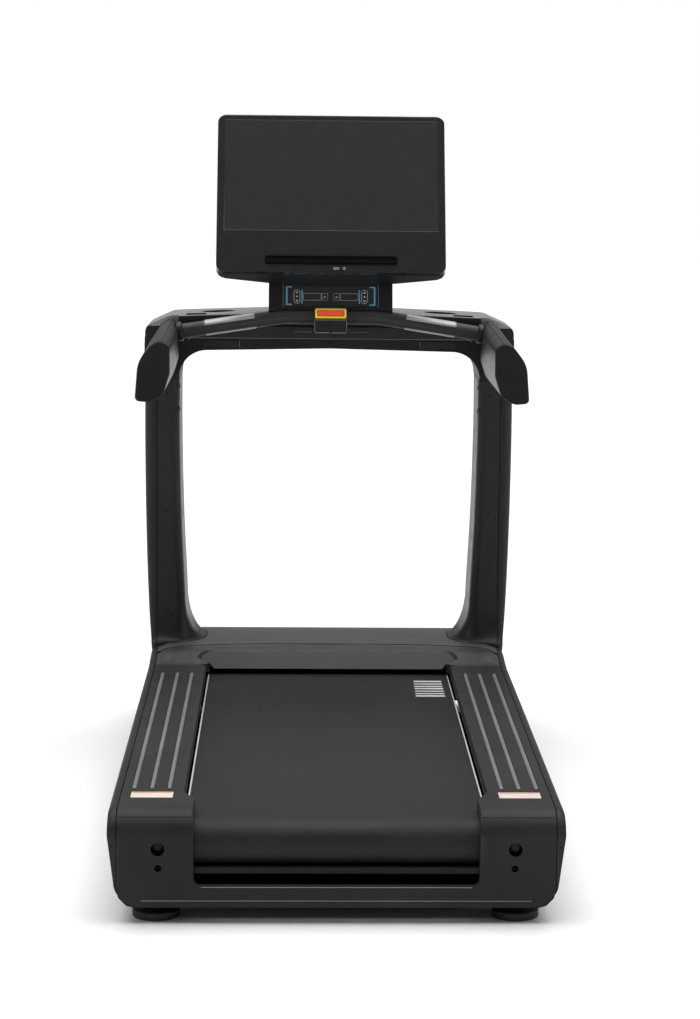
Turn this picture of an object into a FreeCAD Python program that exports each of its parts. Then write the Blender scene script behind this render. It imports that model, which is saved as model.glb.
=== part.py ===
"""Motorised treadmill with a windowed upright frame, side arms and a display.

Millimetres. The origin is on the floor under the middle of the machine, +Z up,
+Y from the walking end towards the motor hood, +X to the walker's right.
"""
import FreeCAD
import Part
import math
import os

V = FreeCAD.Vector

# ---- driving dimensions: base -------------------------------------------------
HALF_LENGTH = 1075.0        # half of the overall length
HALF_WIDTH = 450.0          # half of the base width
RAIL_TOP = 225.0            # height of the foot rails
RAIL_INNER = 305.0          # inner edge of a foot rail
BLOCK_INNER = 282.0         # inner edge of a rear end block
COVER_SEAM = 432.0          # foot rail and side cover meet here
BASE_BOTTOM = 33.0          # ground clearance under the covers
SKIN = 3.5                  # wall of the moulded covers
RAIL_FRONT = 433.0          # foot rails end under the hood
HOOD_SEAM = 600.0           # rear and front hood covers meet here
HOOD_TOP = 250.0            # height of the motor hood
RAMP_FOOT = 449.0           # where the hood comes down to the belt
RAMP_HEAD = 512.0           # where the ramp reaches the hood top

# ---- driving dimensions: belt, deck and rollers --------------------------------
BELT_TOP = 200.0
BELT_THICK = 2.5
BELT_HALF = 297.0
BELT_RADIUS = 45.0          # outside of the belt round a roller
ROLLER_GAP = 0.3
ROLLER_HALF = 300.0
REAR_ROLLER_Y = -1016.0
FRONT_ROLLER_Y = 620.0
DECK_THICK = 25.0
DECK_HALF = 301.0
DECK_REAR = -935.0
DECK_FRONT = 525.0
DECK_SUPPORTS = (-700.0, -250.0, 200.0)

ROLLER_Z = BELT_TOP - BELT_RADIUS
BELT_INSIDE = BELT_RADIUS - BELT_THICK
ROLLER_RADIUS = BELT_INSIDE - ROLLER_GAP
DECK_TOP = BELT_TOP - BELT_THICK
DECK_BOTTOM = DECK_TOP - DECK_THICK

# ---- driving dimensions: welded frame ------------------------------------------
FRAME_IN = 345.0            # inner face of a side rail
FRAME_OUT = 385.0           # outer face of a side rail
FRAME_LOW = 110.0
FRAME_HIGH = 190.0
FRAME_REAR = -955.0
FRAME_FRONT = 1000.0
TUBE_WALL = 3.0
RUNNING_GAP = 0.05          # radial clearance of a shaft in its bearing

# ---- driving dimensions: motor and lift ----------------------------------------
MOTOR_Y = 870.0
MOTOR_Z = 125.0
MOTOR_RADIUS = 75.0
PULLEY_OUT = -341.0         # belt drive lies between these two X values
PULLEY_IN = -313.0
DRIVEN_RADIUS = 60.0
MOTOR_PULLEY_RADIUS = 24.0
DRIVE_BELT_THICK = 4.0
LIFT_PIVOT = (740.0, 82.0)  # Y, Z
WHEEL_Y = 1005.0
WHEEL_RADIUS = 35.0
LEVER_LENGTH = 90.0
LEVER_X = 256.0
LEVER_LEAN = 25.0           # degrees back from upright at rest

# ---- driving dimensions: upright frame and console -----------------------------
UPRIGHT_REAR = 640.0
UPRIGHT_FRONT = 840.0
UPRIGHT_SPLIT = 437.0       # inner and outer upright covers meet here
UPRIGHT_TOP = 930.0         # the console under shell starts here
CONSOLE_REAR = 560.0
CONSOLE_FRONT = 840.0
SHOULDER_REAR = 600.0       # the arms join the console here
CONSOLE_SPLIT = 1035.0      # under shell and console body meet here
ARM_END = 50.0
ARM_INNER = 380.0
PAD_THICK = 12.0
NECK_HALF = 154.0
BAR_RADIUS = 18.5
BAR_Y = 505.0
BAR_Z = 1094.0
BAR_BEND = 118.0            # half length of the straight middle
BAR_END = (380.0, 518.0, 1053.0)

# ---- driving dimensions: display -----------------------------------------------
SCREEN_TILT = 25.0          # degrees back from upright
SCREEN_FOOT = (500.0, 1308.0)   # Y, Z of the picture's lower edge
PICTURE_HALF = 265.7
PICTURE_HIGH = 298.9
HOUSING_HALF = 284.0
HOUSING_BELOW = 112.0
HOUSING_ABOVE = 14.5
HOUSING_CORNER = 20.0
BEZEL_THICK = 12.0
SHELL_THICK = 38.0


# ---- covers and screws -------------------------------------------------------------
SIDE_SCREWS = [(440.0, 154.0), (437.0, 88.0)]   # X, Z on the rear face
SKIRT_SCREW = (180.0, 56.0)   # X, Z
SCREW_RADIUS = 4.5
SPLIT_HEIGHT = 212.0        # rear end cover below, foot rail above

# ---- shafts, brackets and feet -----------------------------------------------------
BEARING_RADIUS = 26.0
SHAFT_RADIUS = 12.0
AXLE_RADIUS = 10.0
PIN_RADIUS = 8.0
UPRIGHT_BOLTS = [(y, z) for y in (700.0, 780.0) for z in (130.0, 170.0)]
GUARD_LOW = 100.0
GUARD_HIGH = 112.0
CROSS_LOW = 116.0
CROSS_HIGH = 152.0
FOOT_X = 357.0
FOOT_Y = -1005.0
FOOT_RADIUS = 47.0
STEM_RADIUS = 6.0

# ---- motor, power and lift details -------------------------------------------------
MOTOR_LEFT = -240.0
MOTOR_RIGHT = 80.0
BELL_THICK = 16.0
ROTOR_RADIUS = 52.0
MOTOR_SHAFT_RADIUS = 10.0
SWITCH_X = -255.0
INLET_X = -300.0
INLET_Z = 80.0
SWITCH_PIN_Y = HALF_LENGTH - 12.0
SWITCH_PIN_RADIUS = 1.5
ARM_LOW_X = 300.0
ARM_HIGH_X = 311.0
TUBE_RADIUS = 13.0
TUBE_Z = 164.0

# ---- upright tubes -----------------------------------------------------------------
TUBE_IN = FRAME_OUT
TUBE_OUT = 425.0
UPRIGHT_TUBE_REAR = 680.0
UPRIGHT_TUBE_FRONT = 800.0
TUBE_TOP = 1066.0

# ---- console details ---------------------------------------------------------------
KEY_X = 84.0                # middle of a rocker key
KEY_S = 31.0                # along the leaning face from its foot
KEY_HALF_WIDE = 8.5
KEY_HALF_HIGH = 18.5
TRAY = (312.0, 364.0, 590.0, 660.0)   # X and Y limits of a shallow tray
TRAY_CORNER = 10.0
TRAY_WALL = 2.0
TRAY_FLOOR = 1068.0
CUP = (285.0, 716.0, 40.0)   # X, Y and radius of a cup well
TOP_SPLIT = 1062.0
CUP_WALL = 2.5
CUP_FLOOR = 1040.0
HUMP_BACK = 70.0                 # depth of the back shell's mounting hump
HUMP_LOW = -100.0
NECK_FOOT = (498.0, 1113.0)      # Y, Z of the key face's lower edge
STOP_FOOT = (452.0, 1088.0)
STOP_HEAD = (480.0, 1120.0)
STOP_HALF = 40.0


# ---- shape helpers --------------------------------------------------------------
def box(x0, x1, y0, y1, z0, z1):
    return Part.makeBox(x1 - x0, y1 - y0, z1 - z0, V(x0, y0, z0))


def rod_x(x0, x1, y, z, radius):
    return Part.makeCylinder(radius, x1 - x0, V(x0, y, z), V(1, 0, 0))


def rod_y(y0, y1, x, z, radius):
    return Part.makeCylinder(radius, y1 - y0, V(x, y0, z), V(0, 1, 0))


def rod_z(z0, z1, x, y, radius):
    return Part.makeCylinder(radius, z1 - z0, V(x, y, z0), V(0, 0, 1))


def rod_between(start, end, radius):
    way = end.sub(start)
    return Part.makeCylinder(radius, way.Length, start, way)


def mirrored(shape):
    return shape.mirror(V(0, 0, 0), V(1, 0, 0))


def both(shape):
    """The shape and its mirror image across the middle plane."""
    return [shape, mirrored(shape)]


def fused(shapes):
    whole = shapes[0]
    for piece in shapes[1:]:
        whole = whole.fuse(piece)
    return whole.removeSplitter()


def outline_face(corners, place):
    """A flat face from (a, b) or (a, b, radius) corners; place turns (a, b) into a vector."""
    count = len(corners)
    edges = []
    joins = []
    for index in range(count):
        corner = corners[index]
        here = V(corner[0], corner[1], 0)
        radius = corner[2] if len(corner) > 2 else 0.0
        before = corners[index - 1]
        after = corners[(index + 1) % count]
        if radius <= 0.0:
            joins.append((here, None, here))
            continue
        back = V(before[0], before[1], 0).sub(here).normalize()
        ahead = V(after[0], after[1], 0).sub(here).normalize()
        half = back.getAngle(ahead) / 2.0
        setback = radius / math.tan(half)
        middle = back.add(ahead).normalize().multiply(radius / math.sin(half) - radius)
        start = here.add(V(back).multiply(setback))
        end = here.add(V(ahead).multiply(setback))
        joins.append((start, here.add(middle), end))
    for index in range(count):
        start, middle, end = joins[index]
        if middle is not None:
            arc = Part.Arc(place(start), place(middle), place(end))
            edges.append(arc.toShape())
        following = joins[(index + 1) % count][0]
        if end.distanceToPoint(following) > 1e-6:
            edges.append(Part.makeLine(place(end), place(following)))
    return Part.Face(Part.Wire(edges))


def along_x(corners, x0, x1):
    face = outline_face(corners, lambda p: V(x0, p.x, p.y))
    return face.extrude(V(x1 - x0, 0, 0))


def along_y(corners, y0, y1):
    face = outline_face(corners, lambda p: V(p.x, y0, p.y))
    return face.extrude(V(0, y1 - y0, 0))


def along_z(corners, z0, z1):
    face = outline_face(corners, lambda p: V(p.x, p.y, z0))
    return face.extrude(V(0, 0, z1 - z0))


def rectangle(a0, a1, b0, b1, radius=0.0):
    return [(a0, b0, radius), (a1, b0, radius), (a1, b1, radius), (a0, b1, radius)]


def tube_x(x0, x1, y0, y1, z0, z1, wall=TUBE_WALL):
    outer = box(x0, x1, y0, y1, z0, z1)
    return outer.cut(box(x0, x1, y0 + wall, y1 - wall, z0 + wall, z1 - wall))


def leaned(shape, lean, y, z):
    """Turn a shape made upright at the origin back by lean degrees and move it to y, z."""
    shape.rotate(V(0, 0, 0), V(1, 0, 0), -lean)
    shape.translate(V(0, y, z))
    return shape


# ---- base outline ----------------------------------------------------------------
def base_profile(inset, front):
    """Side view of the low base, shrunk by inset."""
    rear = -HALF_LENGTH + inset
    top = RAIL_TOP - inset
    return [(rear, BASE_BOTTOM - 1), (rear, top, 50.0 - inset), (front, top), (front, BASE_BOTTOM - 1)]


def side_section(inset):
    """Front view of one flank of the base, from the cover seam outwards."""
    return [
        (COVER_SEAM - 40, BASE_BOTTOM + 2 + inset),
        (408 - inset, BASE_BOTTOM + 2 + inset, 14.0),
        (436 - inset, 68 + inset, 30.0),
        (HALF_WIDTH - inset, 190, 60.0),
        (HALF_WIDTH - inset, RAIL_TOP - inset, 12.0),
        (COVER_SEAM - 40, RAIL_TOP - inset),
    ]


def make_side_cover():
    """One flank of the base: side wall, rear return and the lip that turns under."""
    front = HOOD_SEAM
    outer = along_y(side_section(0), -HALF_LENGTH, front)
    rear_round = along_x(base_profile(0, front), COVER_SEAM - 40, HALF_WIDTH)
    inner = along_y(side_section(SKIN), -HALF_LENGTH + SKIN, front)
    shell = outer.common(rear_round).cut(inner)
    flank = box(COVER_SEAM, HALF_WIDTH, -HALF_LENGTH, front, 0, RAIL_TOP)
    lower_lip = box(399, COVER_SEAM, -HALF_LENGTH + SKIN, front, 0, 90)
    cover = shell.common(flank.fuse(lower_lip))
    for x, z in SIDE_SCREWS:
        cover = cover.cut(rod_y(-HALF_LENGTH, -HALF_LENGTH + SKIN, x, z, SCREW_RADIUS))
    return cover


def rail_plan(inset):
    """Top view of a foot rail: wide at the rear end block, notched, then parallel."""
    return [
        (COVER_SEAM, -HALF_LENGTH),
        (BLOCK_INNER + inset, -HALF_LENGTH),
        (BLOCK_INNER + inset, -955),
        (RAIL_INNER + inset, -895),
        (RAIL_INNER + inset, RAIL_FRONT),
        (COVER_SEAM, RAIL_FRONT),
    ]


def make_foot_rail():
    body = along_z(rail_plan(0), BELT_TOP + 2, RAIL_TOP + 1)
    body = body.common(along_x(base_profile(0, RAIL_FRONT), BLOCK_INNER, COVER_SEAM))
    inside = along_z(rail_plan(SKIN), BELT_TOP, RAIL_TOP + 1)
    inside = inside.common(along_x(base_profile(SKIN, RAIL_FRONT), BLOCK_INNER, COVER_SEAM))
    shell = body.cut(inside)
    block_zone = box(BLOCK_INNER, COVER_SEAM, -HALF_LENGTH, -955, 0, SPLIT_HEIGHT)
    shell = shell.cut(block_zone)
    for x in (337, 372, 408):
        rib = rod_y(-870, 325, x, RAIL_TOP - 1.5, 4.0)
        shell = shell.fuse(rib)
    return shell.removeSplitter()


def make_rail_plate():
    return box(327, 411, -953, -905, RAIL_TOP, RAIL_TOP + 0.8)


def make_rear_end_cover():
    reach = -1045.0
    outer = along_x(base_profile(0, -900), -COVER_SEAM, COVER_SEAM)
    inner = along_x(base_profile(SKIN, -900), -COVER_SEAM, COVER_SEAM)
    wall = outer.cut(inner).common(
        box(-COVER_SEAM, COVER_SEAM, -HALF_LENGTH, reach, BASE_BOTTOM, SPLIT_HEIGHT))
    mouth = along_y(
        [(-BLOCK_INNER, 77, 15.0), (BLOCK_INNER, 77, 15.0), (BLOCK_INNER, 300), (-BLOCK_INNER, 300)],
        -HALF_LENGTH, reach)
    wall = wall.cut(mouth)
    wall = wall.common(along_y(hood_section(0), -HALF_LENGTH - 1, reach))
    bottom_lip = box(-398, 398, -HALF_LENGTH + SKIN, reach, BASE_BOTTOM, BASE_BOTTOM + 3)
    sill = box(-BLOCK_INNER + 15, BLOCK_INNER - 15, -HALF_LENGTH + SKIN, -1062, 74, 77)
    pieces = [wall, bottom_lip, sill]
    for side in (-1, 1):
        x0 = min(side * BLOCK_INNER, side * (BLOCK_INNER + 3))
        cheek = box(x0, x0 + 3, -HALF_LENGTH, -1064, 74, SPLIT_HEIGHT)
        cheek = cheek.common(along_x(base_profile(0, -955), x0, x0 + 3))
        pieces.append(cheek)
    cover = fused(pieces)
    for x in (-351, 351):
        cover = cover.cut(rod_y(-HALF_LENGTH - 1, reach, x, 151, 13.5))
        cover = cover.cut(rod_y(-HALF_LENGTH - 1, reach, x, 113, 7.0))
    for hole in both(rod_y(-HALF_LENGTH, -HALF_LENGTH + SKIN, *SKIRT_SCREW, SCREW_RADIUS)):
        cover = cover.cut(hole)
    return cover


def hood_section(inset):
    """Front view of the whole hood and base."""
    side = [(408 - inset, 35 + inset, 14.0), (436 - inset, 68 + inset, 30.0),
            (HALF_WIDTH - inset, 190, 60.0), (HALF_WIDTH - inset, 236 - inset, 20.0),
            (405 - inset, 252 - inset, 40.0)]
    return side + [(-a, b, r) for a, b, r in reversed(side)]


def hood_profile(inset):
    """Side view of the front hood."""
    nose = HALF_LENGTH - inset
    top = HOOD_TOP - inset
    return [(HOOD_SEAM, 30), (HOOD_SEAM, top), (880, top, 220.0), (nose, 165, 70.0), (nose, 30)]


def hood_plan(inset):
    """Top view of the front hood with its round nose corners."""
    side = HALF_WIDTH + 2 - inset
    nose = HALF_LENGTH - inset
    return [(-side, HOOD_SEAM), (-side, nose, 140.0 - inset), (side, nose, 140.0 - inset),
            (side, HOOD_SEAM)]


def hood_solid(inset):
    solid = along_x(hood_profile(inset), -HALF_WIDTH, HALF_WIDTH)
    solid = solid.common(along_z(hood_plan(inset), 20, 300))
    return solid.common(along_y(hood_section(inset), HOOD_SEAM, HALF_LENGTH))


def make_hood_front_cover():
    shell = hood_solid(0).cut(hood_solid(SKIN))
    shell = shell.cut(box(-398, 398, HOOD_SEAM, 1050, 0, 60))
    for upright in both(upright_solid(0)):
        shell = shell.cut(upright)
    shell = shell.cut(box(-332, -228, 1060, 1080, 58, 102))
    return shell


def make_hood_rear_cover():
    """Ramp down to the belt, and two ears that run back over the foot rails."""
    middle = along_x(
        [(RAMP_FOOT, BELT_TOP + 3), (RAMP_FOOT + 4, BELT_TOP + 3), (RAMP_HEAD, HOOD_TOP - SKIN),
         (HOOD_SEAM, HOOD_TOP - SKIN), (HOOD_SEAM, HOOD_TOP), (RAMP_HEAD - 4, HOOD_TOP, 12.0)],
        -330, 330)
    ear = along_x(
        [(RAIL_FRONT, RAIL_TOP - SKIN), (HOOD_SEAM, 235 - SKIN), (HOOD_SEAM, HOOD_TOP),
         (540, 240, 60.0), (RAIL_FRONT, RAIL_TOP)],
        330, COVER_SEAM)
    cheek = along_x(
        [(RAIL_FRONT, BELT_TOP + 3), (550, BELT_TOP + 3), (550, HOOD_TOP),
         (RAMP_HEAD, HOOD_TOP), (RAIL_FRONT, RAIL_TOP)],
        327, 330)
    return fused([middle] + both(ear) + both(cheek))


def make_belly_pan():
    pan = box(-398, 398, -1044, 700, BASE_BOTTOM + 3, BASE_BOTTOM + 6)
    for hole in both(rod_z(BASE_BOTTOM, BASE_BOTTOM + 9, FOOT_X, FOOT_Y, STEM_RADIUS + 4)):
        pan = pan.cut(hole)
    return pan


# ---- welded frame -------------------------------------------------------------------
def make_side_rail():
    outer = box(FRAME_IN, FRAME_OUT, FRAME_REAR, FRAME_FRONT, FRAME_LOW, FRAME_HIGH)
    inner = box(FRAME_IN + TUBE_WALL, FRAME_OUT - TUBE_WALL, FRAME_REAR, FRAME_FRONT,
                FRAME_LOW + TUBE_WALL, FRAME_HIGH - TUBE_WALL)
    rail = outer.cut(inner)
    rail = rail.cut(rod_x(FRAME_IN, FRAME_OUT, FRONT_ROLLER_Y, ROLLER_Z, BEARING_RADIUS))
    for y, z in UPRIGHT_BOLTS:
        rail = rail.cut(rod_x(FRAME_OUT - TUBE_WALL, FRAME_OUT, y, z, 6.0))
    return rail


def make_crossmembers():
    tubes = []
    for y in DECK_SUPPORTS:
        tubes.append(tube_x(-FRAME_IN, FRAME_IN, y - 30, y + 30, CROSS_LOW, CROSS_HIGH))
    tubes.append(tube_x(-FRAME_IN, FRAME_IN, 955, FRAME_FRONT, 112, 162))
    guard = box(-357, 357, -1062, -1046, GUARD_LOW, GUARD_HIGH)
    guard = guard.cut(box(-357, 357, -1060, -1046, GUARD_LOW + 2, GUARD_HIGH - 2))
    tubes.append(guard)
    return Part.makeCompound(tubes)


def make_roller_bracket():
    flange = box(FRAME_IN, FRAME_OUT, FRAME_REAR - 6, FRAME_REAR, FRAME_LOW, FRAME_HIGH)
    plate = box(357, 363, -1046, FRAME_REAR - 6, FRAME_LOW, FRAME_HIGH)
    tab = box(341, 357, -1046, -1040, 135, 175)
    bracket = fused([flange, plate, tab])
    slot = box(357, 363, REAR_ROLLER_Y - AXLE_RADIUS, REAR_ROLLER_Y + 2 * AXLE_RADIUS,
               ROLLER_Z - AXLE_RADIUS, ROLLER_Z + AXLE_RADIUS)
    bracket = bracket.cut(slot)
    return bracket.cut(rod_y(-1046, -1040, 351, ROLLER_Z, 5.0))


def make_frame_lugs():
    """Welded brackets: foot sockets, lift pivot lugs with their pins, motor mount."""
    pieces = []
    socket = box(341, 373, FOOT_Y - 16, FOOT_Y + 16, 62, FRAME_LOW)
    pieces += both(socket.cut(rod_z(62, FRAME_LOW, FOOT_X, FOOT_Y, STEM_RADIUS + RUNNING_GAP)))
    y, z = LIFT_PIVOT
    lug = along_x([(y - 22, z - 22, 18.0), (y + 22, z - 22, 18.0), (y + 30, FRAME_LOW), (y - 30, FRAME_LOW)],
                  349, 357)
    pin = rod_x(ARM_LOW_X - 3, 349, y, z, PIN_RADIUS)
    pieces += both(lug.fuse(pin).removeSplitter())
    plate = box(-262, 236, 785, 963, 44, 50)
    hanger = box(-262, 236, 957, 963, 50, 112)
    pieces.append(fused([plate, hanger]))
    return Part.makeCompound(pieces)


def make_frame_bolts():
    """Belt tension bolts behind the rear axle, and the bolts that hold the uprights."""
    bolts = []
    for x in (-351, 351):
        shank = rod_y(-1060, REAR_ROLLER_Y - AXLE_RADIUS, x, ROLLER_Z, 5.0)
        bolts.append(shank.fuse(rod_y(-1067, -1060, x, ROLLER_Z, 8.0)).removeSplitter())
    for y, z in UPRIGHT_BOLTS:
        bolt = rod_x(FRAME_OUT - TUBE_WALL, TUBE_OUT, y, z, 6.0)
        bolt = bolt.fuse(rod_x(TUBE_OUT, TUBE_OUT + 5, y, z, 10.0)).removeSplitter()
        bolts += both(bolt)
    return Part.makeCompound(bolts)


# ---- deck, belt and rollers -----------------------------------------------------------
def make_deck_board():
    return box(-DECK_HALF, DECK_HALF, DECK_REAR, DECK_FRONT, DECK_BOTTOM, DECK_TOP)


def make_deck_cushions():
    cushions = []
    for y in DECK_SUPPORTS:
        for x in (-250, 250):
            cushions.append(rod_z(CROSS_HIGH, DECK_BOTTOM, x, y, 24.0))
    return Part.makeCompound(cushions)


def belt_loop(x0, x1, rear, front):
    """Outline solid round two circles (y, z, radius), joined by their outer tangents."""
    y0, z0, r0 = rear
    y1, z1, r1 = front
    span = math.hypot(y1 - y0, z1 - z0)
    heading = math.atan2(z1 - z0, y1 - y0)
    open_angle = math.acos((r0 - r1) / span)

    def at(y, z, r, angle):
        return V(x0, y + r * math.cos(angle), z + r * math.sin(angle))

    up = heading + open_angle
    down = heading - open_angle
    edges = [
        Part.Arc(at(y0, z0, r0, up), at(y0, z0, r0, heading + math.pi), at(y0, z0, r0, down)).toShape(),
        Part.makeLine(at(y0, z0, r0, down), at(y1, z1, r1, down)),
        Part.Arc(at(y1, z1, r1, down), at(y1, z1, r1, heading), at(y1, z1, r1, up)).toShape(),
        Part.makeLine(at(y1, z1, r1, up), at(y0, z0, r0, up)),
    ]
    return Part.Face(Part.Wire(edges)).extrude(V(x1 - x0, 0, 0))


def make_running_belt():
    def loop(radius):
        return belt_loop(-BELT_HALF, BELT_HALF, (REAR_ROLLER_Y, ROLLER_Z, radius),
                         (FRONT_ROLLER_Y, ROLLER_Z, radius))
    return loop(BELT_RADIUS).cut(loop(BELT_INSIDE))


def make_drive_belt():
    def loop(gap):
        return belt_loop(PULLEY_OUT + 3, PULLEY_IN - 3,
                         (FRONT_ROLLER_Y, ROLLER_Z, DRIVEN_RADIUS + gap),
                         (MOTOR_Y, MOTOR_Z, MOTOR_PULLEY_RADIUS + gap))
    return loop(ROLLER_GAP + DRIVE_BELT_THICK).cut(loop(ROLLER_GAP))


def make_front_drive_roller():
    roller = rod_x(-ROLLER_HALF, ROLLER_HALF, FRONT_ROLLER_Y, ROLLER_Z, ROLLER_RADIUS)
    shaft = rod_x(-FRAME_OUT, FRAME_OUT, FRONT_ROLLER_Y, ROLLER_Z, SHAFT_RADIUS)
    return roller.fuse(shaft).removeSplitter()


def pulley(radius, y, z):
    rim = rod_x(PULLEY_OUT + 2, PULLEY_IN - 2, y, z, radius)
    flanges = rod_x(PULLEY_OUT, PULLEY_OUT + 2, y, z, radius + 3)
    flanges = flanges.fuse(rod_x(PULLEY_IN - 2, PULLEY_IN, y, z, radius + 3))
    return rim.fuse(flanges).removeSplitter()


def make_driven_pulley():
    wheel = pulley(DRIVEN_RADIUS, FRONT_ROLLER_Y, ROLLER_Z)
    return wheel.cut(rod_x(PULLEY_OUT, PULLEY_IN, FRONT_ROLLER_Y, ROLLER_Z, SHAFT_RADIUS))


def make_roller_bearings():
    ring = rod_x(FRAME_IN, FRAME_OUT, FRONT_ROLLER_Y, ROLLER_Z, BEARING_RADIUS)
    bore = rod_x(FRAME_IN, FRAME_OUT, FRONT_ROLLER_Y, ROLLER_Z, SHAFT_RADIUS + RUNNING_GAP)
    return Part.makeCompound(both(ring.cut(bore)))


def make_rear_roller():
    roller = rod_x(-ROLLER_HALF, ROLLER_HALF, REAR_ROLLER_Y, ROLLER_Z, ROLLER_RADIUS)
    return roller.cut(rod_x(-ROLLER_HALF, ROLLER_HALF, REAR_ROLLER_Y, ROLLER_Z, AXLE_RADIUS + RUNNING_GAP))


def make_rear_axle():
    return rod_x(-363, 363, REAR_ROLLER_Y, ROLLER_Z, AXLE_RADIUS)


# ---- motor ------------------------------------------------------------------------------


def make_motor_housing():
    can = rod_x(MOTOR_LEFT, MOTOR_RIGHT, MOTOR_Y, MOTOR_Z, MOTOR_RADIUS)
    inside = rod_x(MOTOR_LEFT + BELL_THICK, MOTOR_RIGHT - BELL_THICK, MOTOR_Y, MOTOR_Z, ROTOR_RADIUS + 1)
    bore = rod_x(MOTOR_LEFT, MOTOR_RIGHT, MOTOR_Y, MOTOR_Z, MOTOR_SHAFT_RADIUS + RUNNING_GAP)
    return can.cut(inside).cut(bore)


def make_motor_rotor():
    core = rod_x(MOTOR_LEFT + BELL_THICK + 4, MOTOR_RIGHT - BELL_THICK - 4, MOTOR_Y, MOTOR_Z, ROTOR_RADIUS)
    shaft = rod_x(PULLEY_OUT, MOTOR_RIGHT + 6, MOTOR_Y, MOTOR_Z, MOTOR_SHAFT_RADIUS)
    return core.fuse(shaft).removeSplitter()


def make_motor_flywheel():
    """Flywheel with its cooling vanes, and the small pulley on the same hub."""
    wheel = rod_x(-296, -262, MOTOR_Y, MOTOR_Z, 68.0)
    wheel = wheel.cut(rod_x(-290, -262, MOTOR_Y, MOTOR_Z, 56.0))
    hub = rod_x(PULLEY_IN, -262, MOTOR_Y, MOTOR_Z, 18.0)
    pieces = [wheel, hub, pulley(MOTOR_PULLEY_RADIUS, MOTOR_Y, MOTOR_Z)]
    for index in range(8):
        vane = box(-290, -264, MOTOR_Y - 1.5, MOTOR_Y + 1.5, MOTOR_Z + 16, MOTOR_Z + 58)
        vane.rotate(V(0, MOTOR_Y, MOTOR_Z), V(1, 0, 0), index * 45)
        pieces.append(vane)
    whole = fused(pieces)
    return whole.cut(rod_x(PULLEY_OUT, -262, MOTOR_Y, MOTOR_Z, MOTOR_SHAFT_RADIUS))


def make_control_electronics():
    """Motor controller with its cooling fins, and the board inside the display."""
    controller = box(100, 232, 800, 945, 50, 120)
    for index in range(9):
        x = 108 + index * 14
        controller = controller.cut(box(x, x + 8, 800, 945, 100, 120))
    board = leaned(box(-110, 110, 30, 34, 60, 210), SCREEN_TILT, *SCREEN_FOOT)
    return Part.makeCompound([controller, board])


def make_power_inlet():
    plate = box(-332, -228, HALF_LENGTH - 6, HALF_LENGTH - 1, 58, 102)
    block = box(-328, -232, HALF_LENGTH - 36, HALF_LENGTH - 6, 62, 98)
    body = plate.fuse(block).removeSplitter()
    body = body.cut(box(INLET_X - 14, INLET_X + 14, HALF_LENGTH - 26, HALF_LENGTH, INLET_Z - 10, INLET_Z + 10))
    for x, z in ((-8, -3), (0, 4), (8, -3)):
        body = body.fuse(rod_y(HALF_LENGTH - 26, HALF_LENGTH - 12, INLET_X + x, INLET_Z + z, 2.0))
    well = box(SWITCH_X - 8, SWITCH_X + 8, HALF_LENGTH - 18, HALF_LENGTH, INLET_Z - 13, INLET_Z + 13)
    pin = rod_x(SWITCH_X - 8, SWITCH_X + 8, SWITCH_PIN_Y, INLET_Z, SWITCH_PIN_RADIUS)
    return body.cut(well).fuse(pin).removeSplitter()


def make_power_switch():
    """Rocker that tips about a pin across its well."""
    rocker = along_x([(HALF_LENGTH - 17, INLET_Z, 3.0), (HALF_LENGTH - 4, INLET_Z - 11, 1.0),
                      (HALF_LENGTH + 0, INLET_Z - 11, 1.0), (HALF_LENGTH - 3, INLET_Z, 20.0),
                      (HALF_LENGTH + 0, INLET_Z + 11, 1.0), (HALF_LENGTH - 4, INLET_Z + 11, 1.0)],
                     SWITCH_X - 7.5, SWITCH_X + 7.5)
    bore = rod_x(SWITCH_X - 8, SWITCH_X + 8, SWITCH_PIN_Y, INLET_Z, SWITCH_PIN_RADIUS + RUNNING_GAP)
    return rocker.cut(bore)


# ---- incline lift -------------------------------------------------------------------------


def make_lift_frame():
    y, z = LIFT_PIVOT
    arm = along_x([(y - 18, z - 18, 10.0), (WHEEL_Y + 14, WHEEL_RADIUS - 16, 8.0),
                   (WHEEL_Y + 14, WHEEL_RADIUS + 14, 8.0), (y - 18, z + 16, 10.0)],
                  ARM_LOW_X, ARM_HIGH_X)
    axle = rod_x(ARM_HIGH_X, 356, WHEEL_Y, WHEEL_RADIUS, PIN_RADIUS)
    sides = both(arm.fuse(axle))
    cross = rod_x(-ARM_LOW_X, ARM_LOW_X, y, z, 15.0)
    front_cross = rod_x(-ARM_LOW_X, ARM_LOW_X, WHEEL_Y - 2, WHEEL_RADIUS, 9.0)
    lever = box(LEVER_X - 5, LEVER_X + 5, y - 12, y + 12, z, z + LEVER_LENGTH + 12)
    lever.rotate(V(0, y, z), V(1, 0, 0), LEVER_LEAN)
    pin_y, pin_z = lever_pin()
    pin = rod_x(LEVER_X - 16, LEVER_X + 16, pin_y, pin_z, PIN_RADIUS - 2)
    frame = fused(sides + [cross, front_cross, lever, pin])
    for side in (-1, 1):
        a, b = sorted((side * (ARM_LOW_X - 4), side * 360))
        frame = frame.cut(rod_x(a, b, y, z, PIN_RADIUS + RUNNING_GAP))
    return frame


def lever_pin():
    lean = math.radians(LEVER_LEAN)
    y, z = LIFT_PIVOT
    return y - LEVER_LENGTH * math.sin(lean), z + LEVER_LENGTH * math.cos(lean)


def make_lift_wheel():
    tyre = rod_x(322, 352, WHEEL_Y, WHEEL_RADIUS, WHEEL_RADIUS)
    tyre = tyre.makeFillet(4.0, [e for e in tyre.Edges if isinstance(e.Curve, Part.Circle)])
    return tyre.cut(rod_x(322, 352, WHEEL_Y, WHEEL_RADIUS, PIN_RADIUS + RUNNING_GAP))


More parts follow.
